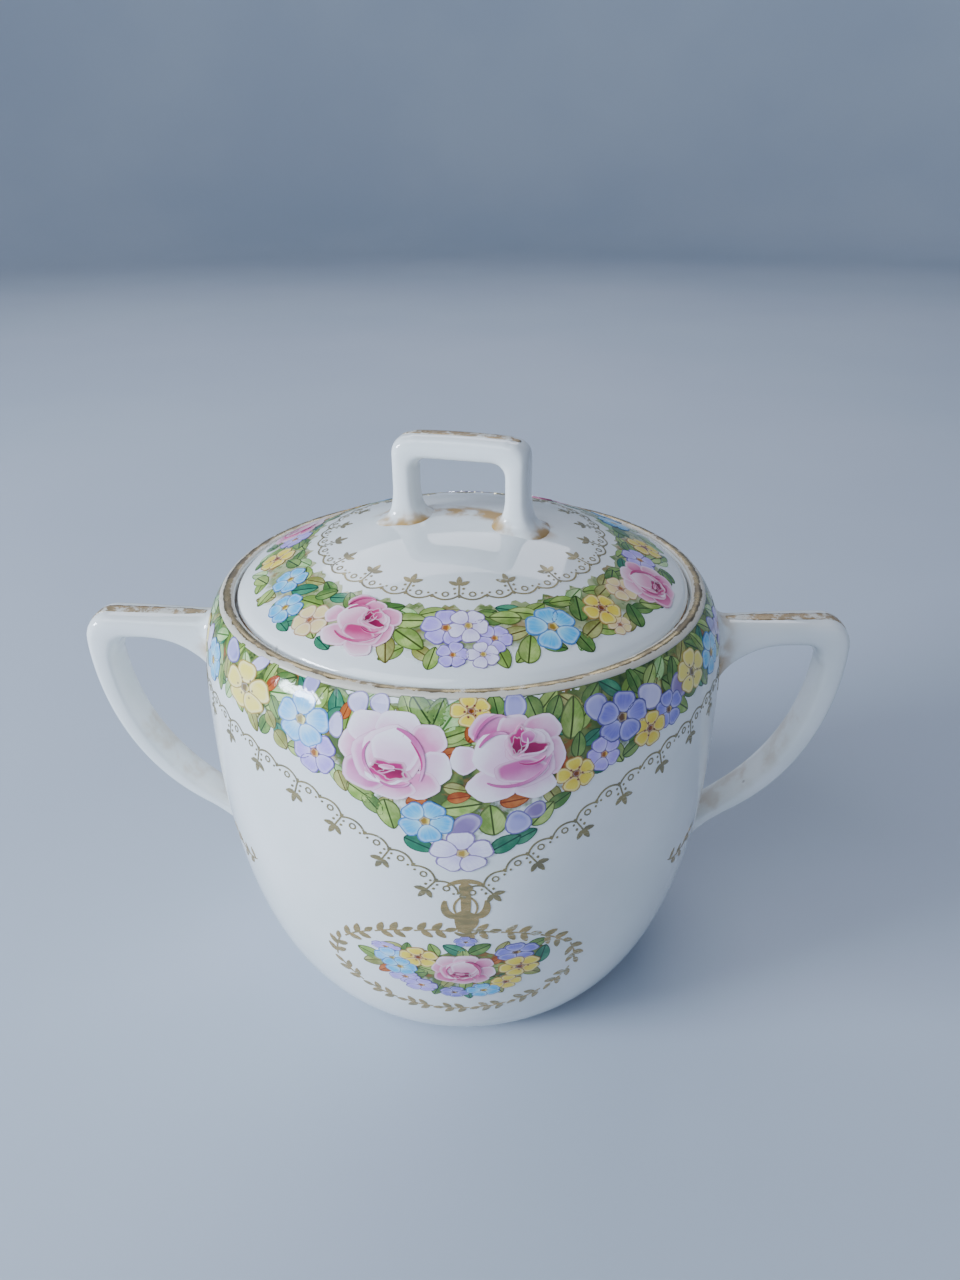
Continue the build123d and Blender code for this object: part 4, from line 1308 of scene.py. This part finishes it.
for angle, reach, length, turn, kind, width in [
    (-90.0, 30.0, 4.6, 90, "fresh", 0.3), (-75.0, 36.2, 4.8, 20, "fresh", 0.3),
    (-76.0, 30.2, 4.6, 200, "deep", 0.3), (-64.4, 36.6, 4.4, -60, "fresh", 0.32),
    (-55.6, 31.0, 5.2, 40, "teal", 0.28), (-47.8, 32.2, 5.4, 10, "fresh", 0.3),
    (-46.4, 29.6, 4.0, 50, "deep", 0.34), (-48.6, 38.0, 3.6, -10, "teal", 0.3),
    (-34.0, 37.8, 3.8, -20, "teal", 0.3), (-13.8, 30.4, 5.6, 8, "fresh", 0.3),
    (-12.6, 33.9, 6.0, -30, "fresh", 0.3), (-17.6, 36.2, 5.2, -70, "olive", 0.3),
    (-21.6, 28.6, 4.6, 25, "deep", 0.28), (9.2, 29.6, 4.4, 150, "deep", 0.3),
    (14.0, 29.8, 5.2, 170, "fresh", 0.28), (19.8, 29.4, 5.0, 160, "fresh", 0.28),
    (10.6, 37.0, 4.4, -75, "fresh", 0.34), (17.6, 36.2, 5.4, 68, "fresh", 0.34),
    (15.6, 33.0, 5.0, 10, "olive", 0.28), (-6.0, 37.0, 4.2, 80, "fresh", 0.3),
    (31.8, 36.8, 4.8, 100, "deep", 0.32), (37.4, 31.0, 5.6, 60, "deep", 0.3),
    (36.6, 35.4, 5.2, 20, "olive", 0.28), (34.0, 28.8, 4.4, 170, "fresh", 0.28),
    (51.4, 36.4, 5.2, 60, "deep", 0.3), (51.0, 30.0, 4.6, 10, "olive", 0.3),
    (60.0, 36.6, 4.6, -40, "fresh", 0.3), (60.6, 28.8, 4.4, 20, "deep", 0.3),
    (77.4, 36.4, 5.0, 20, "deep", 0.3), (88.0, 34.6, 5.2, -30, "fresh", 0.3),
    (88.6, 29.6, 4.6, 10, "deep", 0.3), (-36.6, 29.0, 4.0, 130, "deep", 0.3),
]:
    leaf(lid_leaves, on_lid(angle, reach), length, turn, kind, width, 0.05 + 0.012 * (round(angle * 7) % 3))
for k, angle in enumerate(np.arange(-88.0, 89.0, 8.0)):
    leaf(lid_leaves, on_lid(angle, 28.7 + 0.4 * sin(2.3 * k)), 4.4, 20 + 140 * (k % 2), KINDS[k % 7],
        0.28, 0.03)
    leaf(lid_leaves, on_lid(angle, 36.6 + 0.5 * sin(3.1 * k)), 4.4, -30 - 110 * (k % 2),
        KINDS[(k + 1) % 7], 0.3, 0.03)

# %% Fire the enamel on
bowl_wash_piece = lay("bowl_green_wash", bowl_wash, BOWL_PRINT, bowl_wash_enamel)
posy_wash_piece = lay("bowl_posy_wash", posy_wash, BOWL_PRINT, bowl_wash_enamel)
bowl_petals_piece = lay("bowl_petals", bowl_petals, BOWL_PRINT, petal_enamel)
bowl_roses_piece = lay("bowl_roses", bowl_roses, BOWL_PRINT, rose_enamel)
bowl_leaves_piece = lay("bowl_leaves", bowl_leaves, BOWL_PRINT, leaf_enamel)
lid_wash_piece = lay("lid_green_wash", lid_wash, LID_PRINT, lid_wash_enamel)
lid_petals_piece = lay("lid_petals", lid_petals, LID_PRINT, petal_enamel)
lid_roses_piece = lay("lid_roses", lid_roses, LID_PRINT, rose_enamel)
lid_leaves_piece = lay("lid_leaves", lid_leaves, LID_PRINT, leaf_enamel)

# %% [markdown]
# ## Gold lace
# A printed gold lace edges both garlands: small arches with a ring under
# each, and a three-leaved sprig on every second joint. One arch and one
# sprig are drawn, and a node tree repeats them along a line; the laying
# tree then bends the lace over the pot.

# %% Lace units
LACE_PITCH, LACE_LINE, LACE_LIFT = 4.1, 0.31, 0.05


def ring_line(x, y, radius, count=8):
    return [(x + radius * cos(2 * pi * k / count),
        y + radius * sin(2 * pi * k / count)) for k in range(count)]


arch, sprig, laurel = EnamelSheet(), EnamelSheet(), EnamelSheet()
DOT = blob_outline(0.1, 2, 0, 6)
arch.stroke(
    [(-LACE_PITCH / 2 + LACE_PITCH * t, 0.95 * sin(pi * t) ** 0.8) for t in np.linspace(0, 1, 9)],
    LACE_LINE, LACE_LIFT, taper=False)
arch.stroke(ring_line(0, -0.25, 0.5), 0.26, LACE_LIFT, closed=True)
arch.wafer(*DOT, np.diag((0.3, 0.42)), (LACE_PITCH / 2, 0.1), LACE_LIFT)
for x in (1.5, -1.5):
    arch.wafer(*DOT, np.eye(2) * 0.22, (x, -0.5), LACE_LIFT)
sprig.stroke([(0, 0.26), (0, -1.04), (0, -2.6)], 0.28, LACE_LIFT, taper=False)
for tilt, size, wide in ((-90, 2.1, 0.24), (-30, 1.85, 0.26), (-150, 1.85, 0.26)):
    root = np.array((0, -2.34)) + turn_by(tilt) @ (0.1, 0.0)
    sprig.wafer(*leaf_outline(wide, 8), turn_by(tilt) * size, root, LACE_LIFT)
for x in (0.72, -0.72):
    sprig.wafer(*DOT, np.eye(2) * 0.26, (x, -1.56), LACE_LIFT)
laurel.stroke([(-2.6, 0), (0, 0.25), (2.6, 0)], 0.3, LACE_LIFT, taper=False)
for x, tilt, size in ((-1.9, 52, 2.4), (-1.4, -44, 2.3), (0.4, 46, 2.5), (0.9, -50, 2.3), (2.4, 8, 2.0)):
    laurel.wafer(*leaf_outline(0.27, 10), turn_by(tilt) * size, (x, 0.1), LACE_LIFT)


# %% Repeating tree
def build_repeating_tree():
    tree, given, output = start_tree(
        "repeat_along_line", ("Sheet", "Geometry"), ("Line", "Object"), ("Unit", "Object"),
        ("Repeats", "Int"), ("Phase", "Float"), ("Material", "Material"))
    line = add_node(tree, "GeometryNodeObjectInfo", {"Object": given["Line"]}).outputs["Geometry"]
    unit = add_node(tree, "GeometryNodeObjectInfo", {"Object": given["Unit"]}).outputs["Geometry"]
    index = add_node(tree, "GeometryNodeInputIndex").outputs[0]
    factor = number(tree, "DIVIDE", plus(tree, index, given["Phase"]), given["Repeats"])
    sample = add_node(tree, "GeometryNodeSampleCurve", {"Curves": line, "Factor": factor},
        mode="FACTOR", use_all_curves=True)
    marks = add_node(tree, "GeometryNodePoints", {"Count": given["Repeats"],
        "Position": sample.outputs["Position"]}).outputs[0]
    aim = add_node(tree, "FunctionNodeAlignRotationToVector", {"Vector": sample.outputs["Tangent"]},
        axis="X", pivot_axis="Z").outputs[0]
    placed = add_node(tree, "GeometryNodeInstanceOnPoints",
        {"Points": marks, "Instance": unit, "Rotation": aim}).outputs[0]
    finish_tree(tree, placed, given["Material"], output)
    return tree


repeating = build_repeating_tree()


def run_lace(name, unit, line, repeats, phase, place, material, closed=False):
    """Repeats a flat unit along a flat line, then lays it on the pot."""
    unit_piece = add_object(name + "_unit", unit.mesh(name + "_unit"))
    guide = draw_line(name + "_line", [(p[0], p[1], 0.0) for p in line], closed)
    piece = grow(name, [
        (repeating, {"Line": guide, "Unit": unit_piece, "Repeats": repeats, "Phase": phase,
            "Material": material}),
        (laying, {**place, "Material": material})])
    bpy.data.objects.remove(unit_piece)
    bpy.data.objects.remove(guide)
    print(name, "has", len(piece.data.polygons), "faces")
    return piece


# %% Lace, wreath, pendant and sprays
LACE_EDGE = [
    (0, 33.4), (3, 31.9), (6, 30.0), (9, 28.0), (12.5, 25.9), (17, 23.7), (21, 21.9), (27, 18.6),
    (35, 16.4), (45, 14.4), (60, 12.8), (92, 12.2),
]
bowl_lace_line = [on_bowl(a + 1, table_value(LACE_EDGE, a))[0] for a in np.arange(-91, 89.5, 1.0)]
bowl_arches = int(round(length_along(bowl_lace_line)[-1] / LACE_PITCH / 4)) * 4
bowl_lace = run_lace("bowl_lace", arch, bowl_lace_line, bowl_arches, 0.5, BOWL_PRINT, lace_gold)
bowl_sprigs = run_lace("bowl_lace_sprigs", sprig, bowl_lace_line, bowl_arches // 2, 0.5, BOWL_PRINT,
    lace_gold)
lid_ring_line = [on_lid(-a, 24.6)[0] for a in np.arange(-90, 91, 3.0)]
lid_arches = int(round(length_along(lid_ring_line)[-1] / LACE_PITCH / 2)) * 2
lid_lace = run_lace("lid_lace", arch, lid_ring_line, lid_arches, 0.5, LID_PRINT, lace_gold)
lid_sprigs = run_lace("lid_lace_sprigs", sprig, lid_ring_line, lid_arches // 2, 0.5, LID_PRINT, lace_gold)
WREATH_ANGLE, WREATH_DROP, WREATH_WIDE, WREATH_HIGH = -1.5, 52.6, 26.5, 11.2
oval = [on_bowl(WREATH_ANGLE + WREATH_WIDE * sin(a), WREATH_DROP - WREATH_HIGH * cos(a))[0]
    for a in np.radians(np.arange(0, 360, 6))]
wreath = run_lace("bowl_wreath", laurel, oval, 15, 0.5, BOWL_PRINT, leaf_gold, closed=True)

pendant = EnamelSheet()
PENDANT_ANGLE = 1.3
for sides, path, width in [
    ((1,), [(0, -30.6), (0.1, -33), (0, -36), (0, -41)], 1.6),
    ((1, -1), [(0.4, -37.6), (2.6, -38.8), (3.7, -36.8), (3.1, -34.6)], 1.4),
    ((1, -1), [(0, -33.4), (1.8, -34.4), (2.3, -36.2), (1.2, -37.8)], 0.4),
    ((1,), [(-2.8, -31.6), (-1.6, -30.2), (1.6, -30.2), (2.8, -31.6)], 0.9),
    ((1,), [(-1.8, -41.6), (-0.8, -42.6), (0.8, -42.6), (1.8, -41.6)], 0.8),
]:
    for side in sides:
        a, b, c, d = (np.array(p) * (side, 1) + on_bowl(PENDANT_ANGLE, 0)[0] for p in path)
        pendant.stroke([a] + bend(a, b, c, d, 14), width, LACE_LIFT)
for drop, size, count in ((39.2, (1.9, 2.5), 22), (32.0, (1.1, 1.0), 12)):
    spot, _ = on_bowl(PENDANT_ANGLE, drop)
    pendant.wafer(*blob_outline(0.08, 3, 1.0, count), np.diag(size), spot, LACE_LIFT)
bowl_pendant = lay("bowl_pendant", pendant, BOWL_PRINT, leaf_gold)

SPRAY_ANGLE, SPRAY_DROP, SPRAY_LEAF = 56.0, 42.2, 2.3
SPRAY_STEM = ((-4.4, 1.2), (-1.6, -0.7), (1.6, -0.5), (4.4, 1.4))
SPRAY_LEAVES = (   # across, up, turn
    (-3.4, 0.6, 70), (-2.4, -0.2, -40), (-0.6, -0.4, 64), (0.6, -0.6, -50),
    (2.2, 0.0, 58), (3.2, 0.6, -26), (4.2, 1.3, 24))
root_sprays = EnamelSheet()
for side in (-1, 1):
    spot = on_bowl(SPRAY_ANGLE * side, SPRAY_DROP)[0]
    stem = [spot + (side * x, y) for x, y in SPRAY_STEM]
    root_sprays.stroke([stem[0]] + bend(*stem, 12), 0.4, LACE_LIFT)
    for x, y, tilt in SPRAY_LEAVES:
        spin = turn_by(tilt) * SPRAY_LEAF * np.array(((side,), (1,)))
        root_sprays.wafer(*leaf_outline(0.26, 10), spin, spot + (side * x, y), LACE_LIFT)
root_sprays_piece = lay("bowl_root_sprays", root_sprays, BOWL_PRINT, leaf_gold)
point_out(root_sprays_piece)      # mirroring turned half of its faces inwards


def wreath_wear(x, y, _):
    """The front wreath's right side is more rubbed than its left."""
    return 0.09 if x > 4 and y < 0 else 0.02


store(wreath, "wear", wreath_wear)
for helper in (bowl_form, lid_form):
    bpy.data.objects.remove(helper)

# %% [markdown]
# ## Camera, light and floor
# The camera looks down at the front from arm's length. A big soft panel on
# the left gives the long cool highlight; the right side falls off, and the
# floor sweeps up into a backdrop so that no edge shows.

# %% Camera
CAMERA_PLACE, CAMERA_DOWN, CAMERA_YAW, CAMERA_ROLL = (8.8, -156.9, 149.0), 27.65, -2.14, 0.3
camera_data = bpy.data.cameras.new("camera")
camera_data.lens, camera_data.sensor_width = 27.0, 36.0
camera_data.clip_start, camera_data.clip_end = 0.005, 20.0
camera = add_object("camera", camera_data)
camera.matrix_world = (
    Matrix.Translation(Vector(CAMERA_PLACE) * MM)
    @ Matrix.Rotation(radians(-CAMERA_YAW), 4, "Z")
    @ Matrix.Rotation(radians(90 - CAMERA_DOWN), 4, "X")
    @ Matrix.Rotation(radians(-CAMERA_ROLL), 4, "Z"))
scene.camera = camera

# %% Floor and lights
def make_floor_finish():
    material, tree, shader, place = new_finish("pale_floor", 0.6)
    tone = mix_colours(tree, ramp(tree, grain(tree, place, 3.0), 0.3, 0.7), pigment("b0bac8"),
        pigment("b8c1cd"))
    tree.links.new(tone, shader.inputs["Base Color"])
    return material


FLOOR_REACH, SWEEP, WALL_TOP = 1300.0, 420.0, 2600.0
sweep = [(FLOOR_REACH + SWEEP, WALL_TOP), (FLOOR_REACH + SWEEP, 900.0)]
sweep += [(FLOOR_REACH + SWEEP * cos(a), SWEEP - SWEEP * sin(a)) for a in np.linspace(0, pi / 2, 12)]
sweep += [(600.0, 0.0), (200.0, 0.0), (0.0, 0.0)]
backdrop = turn_piece("backdrop", sweep, make_floor_finish(), 96)


def panel(name, place, aim, size, power, colour):
    """A soft rectangular lamp."""
    lamp = bpy.data.lights.new(name, "AREA")
    lamp.shape, lamp.size, lamp.size_y = "RECTANGLE", size[0], size[1]
    lamp.energy, lamp.color = power, pigment(colour)[:3]
    thing = add_object(name, lamp)
    thing.location = place
    thing.rotation_euler = (Vector(aim) - Vector(place)).to_track_quat("-Z", "Y").to_euler()
    return thing


panel("key_panel", (-0.92, -0.38, 0.31), (0, 0, 0.07), (0.34, 0.2), 17.0, "e2efff")
panel("soft_panel", (-0.5, -0.7, 0.95), (0, 0, 0.05), (0.9, 0.6), 8.5, "e2edff")
panel("fill_panel", (0.8, -0.7, 0.7), (0, 0, 0.05), (0.8, 0.8), 0.8, "f6e8ea")
panel("back_panel", (-0.1, 0.8, 0.8), (0, 0, 0.08), (0.9, 0.4), 4.0, "f2f4ff")
world = bpy.data.worlds.new("soft_room")
world.use_nodes = True
world.node_tree.nodes["Background"].inputs[0].default_value = pigment("ccd5e2")
world.node_tree.nodes["Background"].inputs[1].default_value = 0.3
scene.world = world

# %% [markdown]
# ## Hand the pieces to the frame
# Every piece rides on a body and replaces the CAD node that it stands for;
# the table also lists the record's finish that it shows.

# %% Bodies, replaced nodes and finishes
for piece, body, nodes, finish in (
    (bowl, "bowl", ("bowl_body",), "porcelain"),
    (left_ear, "bowl", ("left_handle",), "porcelain"),
    (right_ear, "bowl", ("right_handle",), "porcelain"),
    (rim_ring, "bowl", ("bowl_rim_gilding",), "gilding"),
    (lid, "lid", ("lid_dome",), "porcelain"),
    (lid_arch, "lid", ("lid_handle",), "porcelain"),
    (lid_ring, "lid", ("lid_edge_gilding",), "gilding"),
    (left_ear_gold, "bowl", ("left_handle_gilding",), "gilding"),
    (right_ear_gold, "bowl", ("right_handle_gilding",), "gilding"),
    (arch_gold, "lid", ("lid_handle_gilding",), "gilding"),
    (bowl_wash_piece, "bowl", (), "porcelain"), (posy_wash_piece, "bowl", (), "porcelain"),
    (bowl_petals_piece, "bowl", (), "porcelain"),
    (bowl_leaves_piece, "bowl", (), "porcelain"), (lid_wash_piece, "lid", (), "porcelain"),
    (bowl_roses_piece, "bowl", (), "porcelain"), (lid_roses_piece, "lid", (), "porcelain"),
    (lid_petals_piece, "lid", (), "porcelain"), (lid_leaves_piece, "lid", (), "porcelain"),
    (bowl_lace, "bowl", (), "gilding"), (bowl_sprigs, "bowl", (), "gilding"),
    (wreath, "bowl", (), "gilding"),
    (bowl_pendant, "bowl", (), "gilding"), (root_sprays_piece, "bowl", (), "gilding"),
    (lid_lace, "lid", (), "gilding"), (lid_sprigs, "lid", (), "gilding"),
):
    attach(piece, body)
    if nodes:
        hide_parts(*nodes)
